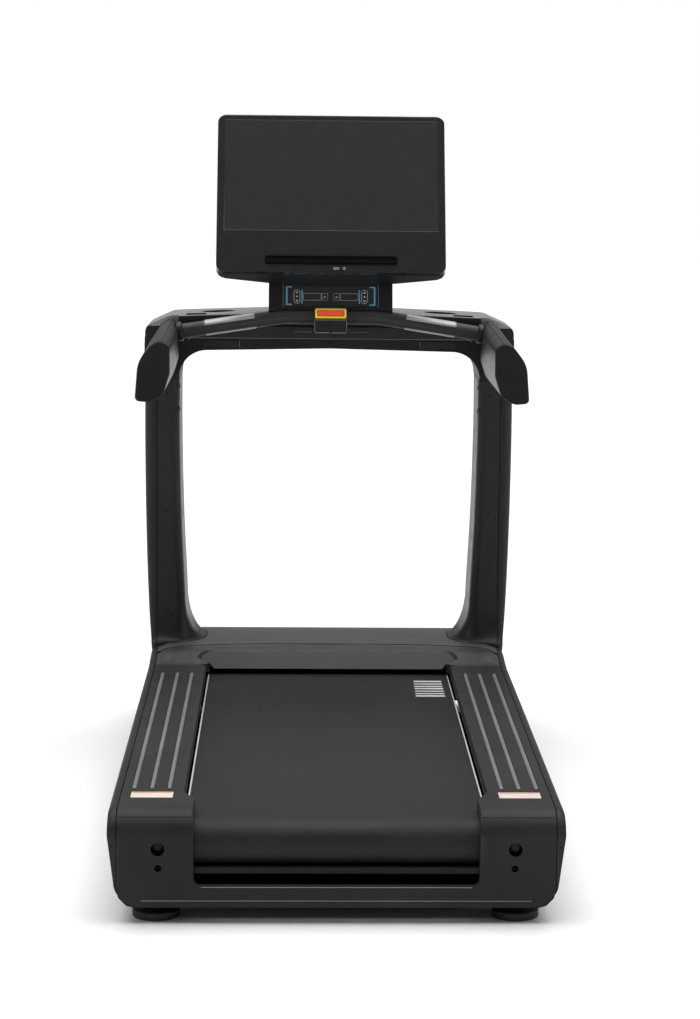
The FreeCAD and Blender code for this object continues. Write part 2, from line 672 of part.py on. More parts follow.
def make_lift_push_tube():
    """Tube with a forked end; its eyes leave the lever pin room to rise and fall."""
    pin_y, pin_z = lever_pin()
    tube = rod_y(pin_y + 26, pin_y + 168, LEVER_X, TUBE_Z, TUBE_RADIUS)
    fork = box(LEVER_X - 16, LEVER_X + 16, pin_y - 14, pin_y + 30, TUBE_Z - 14, TUBE_Z + 14)
    fork = fork.cut(box(LEVER_X - 7, LEVER_X + 7, pin_y - 14, pin_y + 22, TUBE_Z - 14, TUBE_Z + 14))
    whole = fork.fuse(tube).removeSplitter()
    eye = along_x(rectangle(pin_y - 7.0, pin_y + 7.0, pin_z - 8.5, pin_z + 17, 6.0),
                  LEVER_X - 17, LEVER_X + 17)
    return whole.cut(eye)


def make_lift_actuator():
    """Gearbox and screw housing that pulls the tube, and its motor beside it."""
    gearbox = box(228, 284, 845, 955, 136, 192)
    gearbox = gearbox.cut(rod_y(845, 951, LEVER_X, TUBE_Z, TUBE_RADIUS + 0.3))
    motor = rod_y(860, 950, 312, TUBE_Z, 27.0)
    neck = box(280, 300, 880, 930, 150, 178)
    return fused([gearbox, motor, neck])


def make_rear_foot():
    pad = rod_z(0, 16, FOOT_X, FOOT_Y, FOOT_RADIUS)
    pad = pad.makeFillet(3.0, [e for e in pad.Edges if isinstance(e.Curve, Part.Circle)])
    collar = Part.makeCone(34, 16, 12, V(FOOT_X, FOOT_Y, 16))
    stem = rod_z(16, 104, FOOT_X, FOOT_Y, STEM_RADIUS)
    return fused([pad, collar, stem])


# ---- uprights -------------------------------------------------------------------------------


def make_upright_tube():
    outer = box(TUBE_IN, TUBE_OUT, UPRIGHT_TUBE_REAR, UPRIGHT_TUBE_FRONT, 112, TUBE_TOP)
    inner = box(TUBE_IN + TUBE_WALL, TUBE_OUT - TUBE_WALL, UPRIGHT_TUBE_REAR + TUBE_WALL,
                UPRIGHT_TUBE_FRONT - TUBE_WALL, 112, TUBE_TOP)
    tube = outer.cut(inner)
    for y, z in UPRIGHT_BOLTS:
        tube = tube.cut(rod_x(TUBE_IN, TUBE_OUT, y, z, 6.0))
    return tube


def upright_edges(inset):
    """Front view of one upright: outer curve, then inner curve with its flared foot."""
    low = 226.0
    outer = [V(450 - inset, 0, low), V(459 - inset, 0, 330), V(467 - inset, 0, 560),
             V(470 - inset, 0, 780), V(469 - inset, 0, UPRIGHT_TOP)]
    inner = [V(380 + inset, 0, UPRIGHT_TOP), V(380 + inset, 0, 780), V(375 + inset, 0, 560),
             V(366 + inset, 0, 370), V(352 + inset, 0, 300), V(318 + inset, 0, 262), V(290 + inset, 0, low)]
    return outer, inner


def upright_solid(inset):
    outer, inner = upright_edges(inset)
    outer_curve = Part.BSplineCurve()
    outer_curve.interpolate(outer)
    inner_curve = Part.BSplineCurve()
    inner_curve.interpolate(inner)
    wire = Part.Wire([
        outer_curve.toShape(),
        Part.makeLine(outer[-1], inner[0]),
        inner_curve.toShape(),
        Part.makeLine(inner[-1], outer[0]),
    ])
    solid = Part.Face(wire).extrude(V(0, UPRIGHT_FRONT - UPRIGHT_REAR - 2 * inset, 0))
    solid.translate(V(0, UPRIGHT_REAR + inset, 0))
    plan = along_z(rectangle(280, 480, UPRIGHT_REAR + inset, UPRIGHT_FRONT - inset, 24.0), 220, 940)
    rear_round = along_z([(440, UPRIGHT_REAR + inset, 0), (480 - inset, UPRIGHT_REAR + inset, 30.0),
                          (480 - inset, UPRIGHT_FRONT - inset, 30.0), (440, UPRIGHT_FRONT - inset, 0),
                          (280, UPRIGHT_FRONT - inset), (280, UPRIGHT_REAR + inset)], 220, 940)
    return solid.common(plan).common(rear_round)


def upright_shell():
    return upright_solid(0).cut(upright_solid(SKIN)).common(box(280, 480, 600, 900, 226, UPRIGHT_TOP))


def make_upright_inner_cover():
    return upright_shell().common(box(280, UPRIGHT_SPLIT, 600, 900, 220, 940))


def make_upright_outer_cover():
    return upright_shell().common(box(UPRIGHT_SPLIT, 480, 600, 900, 220, 940))


def make_cover_screws():
    """Small domed screws on the upright covers, the rear skirt and the side covers."""
    screws = []
    for x, z in ((412, 884), (413, 585), (405, 320)):
        screws += both(rod_y(UPRIGHT_REAR - 1.5, UPRIGHT_REAR, x, z, SCREW_RADIUS))
    for x, z in [SKIRT_SCREW] + SIDE_SCREWS:
        screws += both(rod_y(-HALF_LENGTH + 1, -HALF_LENGTH + SKIN, x, z, SCREW_RADIUS))
    return Part.makeCompound(screws)


# ---- console ----------------------------------------------------------------------------------
def make_crossbeam_tube():
    return tube_x(-TUBE_IN, TUBE_IN, 776, 800, 1016, TUBE_TOP)


def window_band(inset):
    """Front view of the under shell: round inner corners above the window."""
    half = ARM_INNER + inset
    ceiling = 1000 + inset
    edge = 469 - inset
    return [(-half, UPRIGHT_TOP - inset), (-half, ceiling, 70.0 - inset), (0, ceiling + 8, 900.0),
            (half, ceiling, 70.0 - inset), (half, UPRIGHT_TOP - inset), (edge, UPRIGHT_TOP - inset),
            (edge - 2, CONSOLE_SPLIT + inset), (2 - edge, CONSOLE_SPLIT + inset), (-edge, UPRIGHT_TOP - inset)]


def make_console_lower_shell():
    outer = along_y(window_band(0), SHOULDER_REAR, CONSOLE_FRONT)
    inner = along_y(window_band(SKIN), SHOULDER_REAR + SKIN, CONSOLE_FRONT - SKIN)
    return outer.cut(inner)


def console_crown(inset):
    """Front view of the console above the under shell."""
    edge = 466 - inset
    shoulder = 1062 - inset
    top = 1089 - inset
    return [(-edge, CONSOLE_SPLIT), (-edge, shoulder, 24.0), (-402, top, 30.0), (0, top + 15, 2500.0),
            (402, top, 30.0), (edge, shoulder, 24.0), (edge, CONSOLE_SPLIT)]


def console_plan(inset):
    """Top view of the console: middle reaches further back than its shoulders."""
    edge = 466 - inset
    front = CONSOLE_FRONT - inset
    step = ARM_INNER - inset
    return [(-step, CONSOLE_REAR + inset), (step, CONSOLE_REAR + inset), (step, SHOULDER_REAR + inset),
            (edge, SHOULDER_REAR + inset), (edge, front, 120.0), (-edge, front, 120.0),
            (-edge, SHOULDER_REAR + inset), (-step, SHOULDER_REAR + inset)]


def console_shell():
    outer = along_y(console_crown(0), CONSOLE_REAR, CONSOLE_FRONT).common(
        along_z(console_plan(0), CONSOLE_SPLIT, 1150))
    inner = along_y(console_crown(SKIN), CONSOLE_REAR, CONSOLE_FRONT).common(
        along_z(console_plan(SKIN), CONSOLE_SPLIT, 1150))
    return outer.cut(inner)


def console_openings():
    x0, x1, y0, y1 = TRAY
    tray = along_z(rectangle(x0, x1, y0, y1, TRAY_CORNER), CONSOLE_SPLIT, 1120)
    cup = rod_z(CONSOLE_SPLIT, 1120, CUP[0], CUP[1], CUP[2] + CUP_WALL)
    return fused(both(tray) + both(cup))


def top_zone():
    return box(-480, 480, CONSOLE_REAR + SKIN + 4, CONSOLE_FRONT + 1, TOP_SPLIT, 1150)


def make_console_body():
    return console_shell().cut(top_zone()).cut(neck_solid())


def make_console_top_cover():
    return console_shell().common(top_zone()).cut(console_openings()).cut(neck_solid())


def make_console_trays():
    """A shallow tray and a round cup well on each side, hung in the top cover."""
    ceiling = along_y(console_crown(0), CONSOLE_REAR, CONSOLE_FRONT)
    x0, x1, y0, y1 = TRAY
    tray = along_z(rectangle(x0, x1, y0, y1, TRAY_CORNER), TRAY_FLOOR - TRAY_WALL, 1120)
    inside = rectangle(x0 + TRAY_WALL, x1 - TRAY_WALL, y0 + TRAY_WALL, y1 - TRAY_WALL, TRAY_CORNER - TRAY_WALL)
    tray = tray.cut(along_z(inside, TRAY_FLOOR, 1120))
    cup = rod_z(CUP_FLOOR - CUP_WALL, 1120, CUP[0], CUP[1], CUP[2] + CUP_WALL)
    cup = cup.cut(rod_z(CUP_FLOOR, 1120, CUP[0], CUP[1], CUP[2]))
    return Part.makeCompound(both(tray.common(ceiling)) + both(cup.common(ceiling)))


def screen_point(depth, along):
    """Y and Z of a point behind the picture's lower edge, along the leaning display."""
    lean = math.radians(SCREEN_TILT)
    return (SCREEN_FOOT[0] + depth * math.cos(lean) + along * math.sin(lean),
            SCREEN_FOOT[1] - depth * math.sin(lean) + along * math.cos(lean))


NECK_HEAD = screen_point(HUMP_BACK, HUMP_LOW)
NECK_LEAN = math.degrees(math.atan2(NECK_HEAD[0] - NECK_FOOT[0], NECK_HEAD[1] - NECK_FOOT[1]))


def neck_outline():
    shoulder = screen_point(HUMP_BACK, 50)
    return [(NECK_FOOT[0] + 14, 1084), NECK_FOOT, NECK_HEAD, shoulder,
            (shoulder[0] + 55, shoulder[1], 30.0), (700, 1064), (566, 1064)]


def neck_solid():
    return along_x(neck_outline(), -NECK_HALF, NECK_HALF)


def make_console_neck():
    face = outline_face(neck_outline(), lambda p: V(SKIN - NECK_HALF, p.x, p.y))
    hollow = face.makeOffset2D(-SKIN).extrude(V(2 * (NECK_HALF - SKIN), 0, 0))
    neck = neck_solid().cut(along_y(console_crown(0), CONSOLE_REAR, CONSOLE_REAR + SKIN + 4))
    neck = neck.cut(handlebar_solid(1.0))
    bar_sleeve = rod_x(-NECK_HALF, NECK_HALF, BAR_Y, BAR_Z, BAR_RADIUS + 5)
    return neck.cut(hollow.cut(bar_sleeve))


def make_key_panel():
    return leaned(along_y(rectangle(-117, 117, 7, 74, 6.0), -2, 0), NECK_LEAN, *NECK_FOOT)


def make_readout_windows():
    windows = [along_y(rectangle(x, x + 42, 23, 40, 2.0), -2.6, -2) for x in (-67, 25)]
    return leaned(Part.makeCompound(windows), NECK_LEAN, *NECK_FOOT)


def make_rocker_key(side):
    cap = along_y(rectangle(side * KEY_X - KEY_HALF_WIDE, side * KEY_X + KEY_HALF_WIDE,
                            KEY_S - KEY_HALF_HIGH, KEY_S + KEY_HALF_HIGH, KEY_HALF_WIDE - 0.1), -6.5, -4)
    barrel = rod_x(side * KEY_X - 7, side * KEY_X + 7, -4, KEY_S, 1.7)
    return leaned(cap.fuse(barrel).removeSplitter(), NECK_LEAN, *NECK_FOOT)


STOP_LEAN = math.degrees(math.atan2(STOP_HEAD[0] - STOP_FOOT[0], STOP_HEAD[1] - STOP_FOOT[1]))


def make_estop_housing():
    body = along_x([(CONSOLE_REAR, 1058), (462, 1056, 6.0), STOP_FOOT, STOP_HEAD,
                    (492, 1120, 3.0), (496, 1112), (516, 1112)], -STOP_HALF, STOP_HALF)
    body = body.cut(box(-STOP_HALF, STOP_HALF, 527, CONSOLE_REAR, 1000, 1200).cut(
        box(-30, 30, 527, CONSOLE_REAR, 1062, 1080)))
    pocket = leaned(box(-32, 32, 0, 8, 7, 36), STOP_LEAN, *STOP_FOOT)
    return body.cut(pocket).cut(handlebar_solid(0)).cut(neck_solid())


def make_estop_bezel():
    ring = along_y(rectangle(-38.5, 38.5, 1, 41.5, 4.0), -3, 0)
    ring = ring.cut(box(-32, 32, -3, 0, 7, 36))
    return leaned(ring, STOP_LEAN, *STOP_FOOT)


def make_estop_button():
    return leaned(along_y(rectangle(-31, 31, 8, 35, 3.0), -8, 1), STOP_LEAN, *STOP_FOOT)


def handlebar_solid(extra):
    radius = BAR_RADIUS + extra
    middle = rod_x(-BAR_BEND, BAR_BEND, BAR_Y, BAR_Z, radius)
    bend = V(BAR_BEND, BAR_Y, BAR_Z)
    end = V(*BAR_END)
    way = end.sub(bend).normalize()
    slope = rod_between(bend, end.add(V(way).multiply(20)), radius)
    elbow = Part.makeSphere(radius, bend)
    whole = fused([middle] + both(slope) + both(elbow))
    return whole.common(box(-ARM_INNER, ARM_INNER, 400, 650, 900, 1200))


def make_pulse_plate(low, high):
    """A strip of the bar's skin between two distances above the bar's axis."""
    bend = V(BAR_BEND, BAR_Y, BAR_Z)
    end = V(*BAR_END)
    way = end.sub(bend)
    start = bend.add(V(way).multiply(0.26))
    stop = bend.add(V(way).multiply(0.74))
    ring = rod_between(start, stop, BAR_RADIUS + 1.6).cut(rod_between(bend, end, BAR_RADIUS))
    slab = box(0, way.Length, -30, 30, low, high)
    slab.rotate(V(0, 0, 0), V(0, 1, 0), math.degrees(math.atan2(-way.z, way.x)))
    slab.rotate(V(0, 0, 0), V(0, 0, 1), math.degrees(math.atan2(way.y, way.x)))
    slab.translate(bend)
    return ring.common(slab)


def make_pulse_plates():
    upper = make_pulse_plate(9.0, 30.0)
    lower = make_pulse_plate(-30.0, -10.0)
    return Part.makeCompound(both(upper) + both(lower))


# ---- arms ------------------------------------------------------------------------------------
def arm_wire(y, rise, inset):
    """Front view of an arm at y: flat inner face, swept underside, round outer shoulder."""
    corners = [(ARM_INNER + inset, 1060 + rise - inset, 8.0), (420, 1056 + rise - inset, 40.0),
               (462 - inset, 1012 + rise / 2, 50.0), (466 - inset, 922 + inset, 10.0),
               (432, 919 + inset, 30.0), (398 + inset, 936 + inset, 24.0),
               (ARM_INNER + inset, 984 + inset, 30.0)]
    return outline_face(corners, lambda p: V(p.x, y, p.y)).OuterWire


def arm_solid(y0, y1, inset):
    rise = 28.0 / (SHOULDER_REAR - ARM_END)
    sections = [arm_wire(y, (y - ARM_END) * rise, inset) for y in (y0, y1)]
    return Part.makeLoft(sections, True, True)


def make_arm_cover():
    return arm_solid(ARM_END + PAD_THICK, SHOULDER_REAR, 0).cut(
        arm_solid(ARM_END + PAD_THICK + SKIN, SHOULDER_REAR, SKIN))


def make_arm_end_pad():
    pad = arm_solid(ARM_END, ARM_END + PAD_THICK, 0)
    rim = [e for e in pad.Edges if e.BoundBox.YMax < ARM_END + 1]
    try:
        return pad.makeFillet(5.0, rim)
    except Exception:
        return pad


# ---- display ---------------------------------------------------------------------------------
def housing_outline(inset):
    return rectangle(-HOUSING_HALF + inset, HOUSING_HALF - inset, -HOUSING_BELOW + inset,
                     PICTURE_HIGH + HOUSING_ABOVE - inset, HOUSING_CORNER - inset)


def on_screen(shape):
    return leaned(shape, SCREEN_TILT, *SCREEN_FOOT)


def make_display_back_shell():
    outer = along_y(housing_outline(0), BEZEL_THICK, BEZEL_THICK + SHELL_THICK)
    hump = along_y(rectangle(-NECK_HALF, NECK_HALF, HUMP_LOW, 160, 0.0), BEZEL_THICK + SHELL_THICK, HUMP_BACK)
    inner = along_y(housing_outline(SKIN), BEZEL_THICK, BEZEL_THICK + SHELL_THICK - SKIN)
    return on_screen(outer.fuse(hump).cut(inner).removeSplitter())


def make_display_bezel():
    frame = along_y(housing_outline(0), 0, BEZEL_THICK)
    frame = frame.cut(box(-PICTURE_HALF, PICTURE_HALF, 0, BEZEL_THICK, 0, PICTURE_HIGH))
    return on_screen(frame)


def make_display_panel():
    return on_screen(box(-PICTURE_HALF, PICTURE_HALF, 1, BEZEL_THICK, 0, PICTURE_HIGH))


def make_reading_ledge():
    return on_screen(along_y(rectangle(-164, 164, -88, -70, 6.0), -10, 0))


def make_socket_plate():
    plate = along_y(rectangle(2, 40, -106, -96, 2.0), -0.8, 0)
    plate = plate.cut(box(6, 19, -0.8, 0, -103.5, -98.5))
    return on_screen(plate.cut(rod_y(-0.8, 0, 32, -101, 2.2)))


# ---- every sub-part ----------------------------------------------------------------------------
def pair(shape):
    return Part.makeCompound(both(shape))


def build():
    nodes = {
        "frame_side_rails": pair(make_side_rail()),
        "frame_crossmembers": make_crossmembers(),
        "frame_lugs": make_frame_lugs(),
        "frame_bolts": make_frame_bolts(),
        "deck_board": make_deck_board(),
        "deck_cushions": make_deck_cushions(),
        "running_belt": make_running_belt(),
        "front_drive_roller": make_front_drive_roller(),
        "driven_pulley": make_driven_pulley(),
        "roller_bearings": make_roller_bearings(),
        "rear_roller": make_rear_roller(),
        "rear_axle": make_rear_axle(),
        "roller_brackets": pair(make_roller_bracket()),
        "motor_housing": make_motor_housing(),
        "motor_rotor": make_motor_rotor(),
        "motor_flywheel": make_motor_flywheel(),
        "drive_belt": make_drive_belt(),
        "control_electronics": make_control_electronics(),
        "power_inlet": make_power_inlet(),
        "power_switch": make_power_switch(),
        "lift_frame": make_lift_frame(),
        "lift_wheel_left": mirrored(make_lift_wheel()),
        "lift_wheel_right": make_lift_wheel(),
        "lift_actuator": make_lift_actuator(),
        "lift_push_tube": make_lift_push_tube(),
        "rear_foot_left": mirrored(make_rear_foot()),
        "rear_foot_right": make_rear_foot(),
        "rear_end_cover": make_rear_end_cover(),
        "foot_rails": pair(make_foot_rail()),
        "rail_plates": pair(make_rail_plate()),
        "side_covers": pair(make_side_cover()),
        "hood_rear_cover": make_hood_rear_cover(),
        "hood_front_cover": make_hood_front_cover(),
        "belly_pan": make_belly_pan(),
        "cover_screws": make_cover_screws(),
        "upright_tubes": pair(make_upright_tube()),
        "upright_inner_covers": pair(make_upright_inner_cover()),
        "upright_outer_covers": pair(make_upright_outer_cover()),
        "crossbeam_tube": make_crossbeam_tube(),
        "console_lower_shell": make_console_lower_shell(),
        "console_body": make_console_body(),
        "console_top_cover": make_console_top_cover(),
        "console_trays": make_console_trays(),
        "console_neck": make_console_neck(),
        "key_panel": make_key_panel(),
        "readout_windows": make_readout_windows(),
        "rocker_key_left": make_rocker_key(-1),
        "rocker_key_right": make_rocker_key(1),
        "estop_housing": make_estop_housing(),
        "estop_bezel": make_estop_bezel(),
        "estop_button": make_estop_button(),
        "handlebar": handlebar_solid(0),
        "pulse_plates": make_pulse_plates(),
        "arm_covers": pair(make_arm_cover()),
        "arm_end_pads": pair(make_arm_end_pad()),
        "display_back_shell": make_display_back_shell(),
        "display_bezel": make_display_bezel(),
        "display_panel": make_display_panel(),
        "reading_ledge": make_reading_ledge(),
        "socket_plate": make_socket_plate(),
    }
    return nodes


def main():
    os.makedirs("parts", exist_ok=True)
    for name, shape in build().items():
        shape.exportStep("parts/" + name + ".step")
        print(name, "solids", len(shape.Solids), "volume", round(shape.Volume), "valid", shape.isValid())


main()
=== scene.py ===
"""Looks of a motorised treadmill: covers, belt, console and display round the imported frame.

Lengths are written in millimetres in the row frame and scaled to metres when a mesh is made.
+X is the walker's right, +Y points from the walking end to the motor hood, +Z is up.
"""
import math

import bmesh
import bpy
from mathutils import Matrix, Vector
from mathutils.geometry import tessellate_polygon


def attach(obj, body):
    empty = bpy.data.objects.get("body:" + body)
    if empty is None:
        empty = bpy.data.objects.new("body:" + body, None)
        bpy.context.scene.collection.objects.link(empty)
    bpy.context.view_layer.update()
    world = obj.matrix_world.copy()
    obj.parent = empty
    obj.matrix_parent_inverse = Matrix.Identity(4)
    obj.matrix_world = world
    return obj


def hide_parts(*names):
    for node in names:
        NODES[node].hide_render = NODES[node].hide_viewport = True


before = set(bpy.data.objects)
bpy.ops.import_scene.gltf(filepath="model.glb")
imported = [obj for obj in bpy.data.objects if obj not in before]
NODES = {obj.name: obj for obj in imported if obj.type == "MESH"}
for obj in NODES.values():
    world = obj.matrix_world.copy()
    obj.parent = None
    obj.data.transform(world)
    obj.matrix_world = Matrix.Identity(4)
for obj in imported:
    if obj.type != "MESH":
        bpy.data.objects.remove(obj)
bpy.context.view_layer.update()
MM = 0.001

# ---- driving sizes, as in the frame ----
HALF_WIDTH = 450.0
RAIL_TOP = 225.0
COVER_SEAM = 432.0
SEAM_GAP = 0.7
BELT_TOP = 200.0
BELT_HALF = 297.0
BELT_RADIUS = 45.0
ROLLER_Z = BELT_TOP - BELT_RADIUS
REAR_ROLLER_Y = -1016.0
FRONT_ROLLER_Y = 620.0
HOOD_TOP = 250.0
HOOD_SEAM = 600.0
RAIL_FRONT = 433.0
EDGE_RISE = 16.0
REAR_WALL = -1074.2
BEND_START = -1025.0
BEND_RADIUS = 50.0
SHOULDER_Z = 165.0
MOUTH_HALF = 282.0
MOUTH_LOW = 77.0
MOUTH_TOP = 211.0
RAIL_INNER = 305.0
RAIL_EDGE = 431.3
RAIL_DROP_Z = 202.0
EAR_REAR = 433.6
RAMP_FOOT = 449.0
RAMP_LOW = 214.0
RAMP_SLOPE = 0.545
ROLL_START = 385.0
WALL = 2.6
NOSE_START = 1030.0
NOSE_BEND = 935.0
NOSE_RADIUS = 140.0
INLET_X = (-332.6, -227.4)
INLET_Z = (57.4, 102.6)
RIB_X = (337.0, 372.0, 408.0)
RIB_REAR = -868.0
RIB_FRONT = 325.0
RIB_HALF = 4.4
UPRIGHT_SPLIT = 437.0
ARM_INNER = 380.0
ARM_END = 50.0
SHOULDER_REAR = 600.0
SCREEN_TILT = math.radians(25.0)
SCREEN_FOOT = (500.0, 1308.0)
NECK_FOOT = (498.0, 1113.0)
NECK_LEAN = math.radians(17.2207)
STOP_FOOT = (452.0, 1088.0)
STOP_LEAN = math.atan2(28.0, 32.0)
BAR_POINTS = [(-380, 518, 1053), (-118, 505, 1094), (118, 505, 1094), (380, 518, 1053)]
BAR_RADIUS = 18.5
PULSE_RIDGES = 20
KEY_MIDDLE = 31.0
SIDES = (("left", -1), ("right", 1))


# ---- materials ----
def node_of(tree, kind, **inputs):
    node = tree.nodes.new(kind)
    for name, value in inputs.items():
        node.inputs[name.replace("_", " ")].default_value = value
    return node


def noise_of(tree, coords, scale, detail=3.0, roughness=0.5):
    node = node_of(tree, "ShaderNodeTexNoise", Scale=scale, Detail=detail, Roughness=roughness)
    tree.links.new(coords, node.inputs["Vector"])
    return node.outputs["Fac"]


def mapped(tree, value, low_in, high_in, low_out, high_out):
    """Value carried from one range to another."""
    node = tree.nodes.new("ShaderNodeMapRange")
    for index, number in enumerate((low_in, high_in, low_out, high_out)):
        node.inputs[index + 1].default_value = number
    tree.links.new(value, node.inputs[0])
    return node.outputs[0]


def mixed(tree, factor, colour_a, colour_b):
    """Colours are either a socket or an (r, g, b) triple."""
    node = tree.nodes.new("ShaderNodeMix")
    node.data_type = "RGBA"
    tree.links.new(factor, node.inputs["Factor"])
    for socket, colour in ((node.inputs[6], colour_a), (node.inputs[7], colour_b)):
        if isinstance(colour, bpy.types.NodeSocket):
            tree.links.new(colour, socket)
        else:
            socket.default_value = (*colour, 1.0)
    return node.outputs[2]


def bumped(tree, height, strength, distance, normal=None):
    node = node_of(tree, "ShaderNodeBump", Strength=strength, Distance=distance)
    tree.links.new(height, node.inputs["Height"])
    if normal is not None:
        tree.links.new(normal, node.inputs["Normal"])
    return node.outputs["Normal"]


def tint(colour, factor):
    """A colour made lighter or darker by a factor."""
    return tuple(min(1.0, c * factor) for c in colour)


def finish_of(name, colour, rough, metal=0.0, grain=1100.0, depth=0.00008, strength=0.35,
              tone=0.16, swing=0.07, wear=0.0, coat=0.0, stretch=(1.0, 1.0, 1.0), specular=0.5, dents=0.12):
    """A moulded, painted or machined surface: grain bump, cloudy tone, uneven gloss, worn edges."""
    material = bpy.data.materials.new(name)
    material.use_nodes = True
    tree = material.node_tree
    shader = tree.nodes["Principled BSDF"]
    shader.inputs["Metallic"].default_value = metal
    shader.inputs["Coat Weight"].default_value = coat
    shader.inputs["Coat Roughness"].default_value = 0.08
    shader.inputs["Specular IOR Level"].default_value = specular
    place = tree.nodes.new("ShaderNodeTexCoord").outputs["Object"]
    mapping = node_of(tree, "ShaderNodeMapping", Scale=stretch)
    tree.links.new(place, mapping.inputs["Vector"])
    coords = mapping.outputs["Vector"]
    clouds = noise_of(tree, place, 7.0, 4.0, 0.6)
    smudge = noise_of(tree, coords, 38.0, 5.0, 0.62)
    fine = noise_of(tree, coords, grain, 2.0, 0.5)
    cloudy = mapped(tree, clouds, 0.3, 0.7, 0.0, 1.0)
    surface = mixed(tree, cloudy, tint(colour, 1 - tone), tint(colour, 1 + tone))
    surface = mixed(tree, mapped(tree, smudge, 0.45, 0.75, 0.0, 0.35), surface, tint(colour, 1 + 2 * tone))
    if wear > 0.0:
        edge = tree.nodes.new("ShaderNodeNewGeometry").outputs["Pointiness"]
        rubbed = mapped(tree, edge, 0.53, 0.60, 0.0, wear)
        surface = mixed(tree, rubbed, surface, tint(colour, 2.6))
    tree.links.new(surface, shader.inputs["Base Color"])
    gloss = mapped(tree, smudge, 0.3, 0.7, rough - swing, rough + swing)
    tree.links.new(gloss, shader.inputs["Roughness"])
    normal = bumped(tree, fine, strength, depth)
    normal = bumped(tree, smudge, dents, 0.0004, normal)
    tree.links.new(normal, shader.inputs["Normal"])
    return material


def belt_surface():
    """Dark running belt: fine crossed weave, dust specks, and painted shade darkening the edges beside the
    foot rails.
    """
    material = bpy.data.materials.new("belt_weave")
    material.use_nodes = True
    tree = material.node_tree
    shader = tree.nodes["Principled BSDF"]
    place = tree.nodes.new("ShaderNodeTexCoord").outputs["Object"]
    shader.inputs["Specular IOR Level"].default_value = 0.25
    weave = None
    for angle in (45.0, -45.0):
        mapping = node_of(tree, "ShaderNodeMapping", Rotation=(0.0, 0.0, math.radians(angle)))
        tree.links.new(place, mapping.inputs["Vector"])
        wave = node_of(tree, "ShaderNodeTexWave", Scale=160.0, Distortion=0.6, Detail=1.0)
        wave.inputs["Detail Scale"].default_value = 2.0
        tree.links.new(mapping.outputs["Vector"], wave.inputs["Vector"])
        if weave is None:
            weave = wave.outputs["Fac"]
        else:
            node = tree.nodes.new("ShaderNodeMath")
            node.operation = "MULTIPLY"
            tree.links.new(weave, node.inputs[0])
            tree.links.new(wave.outputs["Fac"], node.inputs[1])
            weave = node.outputs[0]
    specks = noise_of(tree, place, 420.0, 4.0, 0.7)
    clouds = noise_of(tree, place, 5.0, 3.0, 0.55)
    parts = tree.nodes.new("ShaderNodeSeparateXYZ")
    tree.links.new(place, parts.inputs[0])
    across = tree.nodes.new("ShaderNodeMath")
    across.operation = "ABSOLUTE"
    tree.links.new(parts.outputs["X"], across.inputs[0])
    cloudy = mapped(tree, clouds, 0.3, 0.7, 0.0, 1.0)
    dust = mapped(tree, specks, 0.55, 0.8, 0.0, 0.55)
    # Painted shade: the belt's colour darkens towards its edges, where the foot rails shade it.
    painted_rail_shade = mapped(tree, across.outputs[0], 0.20, 0.29, 0.0, 0.5)
    surface = mixed(tree, cloudy, (0.010, 0.010, 0.010), (0.016, 0.016, 0.016))
    surface = mixed(tree, dust, surface, (0.055, 0.055, 0.055))
    surface = mixed(tree, painted_rail_shade, surface, (0.009, 0.009, 0.009))
    tree.links.new(surface, shader.inputs["Base Color"])
    tree.links.new(mapped(tree, clouds, 0.3, 0.7, 0.52, 0.66), shader.inputs["Roughness"])
    normal = bumped(tree, weave, 0.5, 0.0003)
    normal = bumped(tree, specks, 0.3, 0.0001, normal)
    tree.links.new(normal, shader.inputs["Normal"])
    return material


def floor_surface():
    material = bpy.data.materials.new("pale_floor")
    material.use_nodes = True
    tree = material.node_tree
    shader = tree.nodes["Principled BSDF"]
    place = tree.nodes.new("ShaderNodeTexCoord").outputs["Object"]
    clouds = noise_of(tree, place, 0.6, 3.0)
    surface = mixed(tree, clouds, (0.86, 0.86, 0.86), (0.90, 0.90, 0.90))
    tree.links.new(surface, shader.inputs["Base Color"])
    shader.inputs["Roughness"].default_value = 0.9
    shader.inputs["Specular IOR Level"].default_value = 0.1
    return material


COVER = finish_of("cover_plastic", (0.021, 0.0212, 0.022), 0.46, wear=0.35, specular=0.14)
RAIL = finish_of("rail_plastic", (0.028, 0.0283, 0.029), 0.50, wear=0.4, grain=1400.0, specular=0.12)
# Also used for the light lines that are painted highlights along edges.
RIB = finish_of("tread_rib", (0.17, 0.17, 0.175), 0.36, wear=0.3, grain=1200.0)
UPPER = finish_of("upper_plastic", (0.013, 0.0131, 0.0135), 0.40, wear=0.3, specular=0.3)
HOOD = finish_of("hood_plastic", (0.058, 0.0583, 0.0592), 0.42, wear=0.3, specular=0.4)
# Painted shade: a darker copy of the hood plastic for the rear hood cover, standing in for the shade on its
# ramp down to the belt.
RAMP_PAINTED_SHADE = finish_of("ramp_plastic_painted_shade", (0.040, 0.0403, 0.041), 0.42, wear=0.3, specular=0.3)
PAD = finish_of("pad_plastic", (0.012, 0.012, 0.0126), 0.5, grain=1700.0, strength=0.5, wear=0.25,
                specular=0.15)
SILVER = finish_of("silver_paint", (0.34, 0.345, 0.35), 0.34, metal=0.55, grain=2500.0, depth=0.00003,
                   tone=0.06)
STEEL_BLACK = finish_of("powder_coat", (0.012, 0.012, 0.0125), 0.5, grain=700.0, depth=0.00014, strength=0.5,
                        specular=0.15)
STEEL_BRIGHT = finish_of("zinc_steel", (0.56, 0.56, 0.57), 0.32, metal=1.0, grain=500.0, stretch=(1, 1, 14))
ALLOY = finish_of("turned_alloy", (0.66, 0.66, 0.67), 0.28, metal=1.0, grain=400.0, stretch=(20, 1, 1))
IRON = finish_of("cast_iron", (0.10, 0.10, 0.105), 0.55, metal=0.6, grain=300.0, depth=0.0003, strength=0.6)
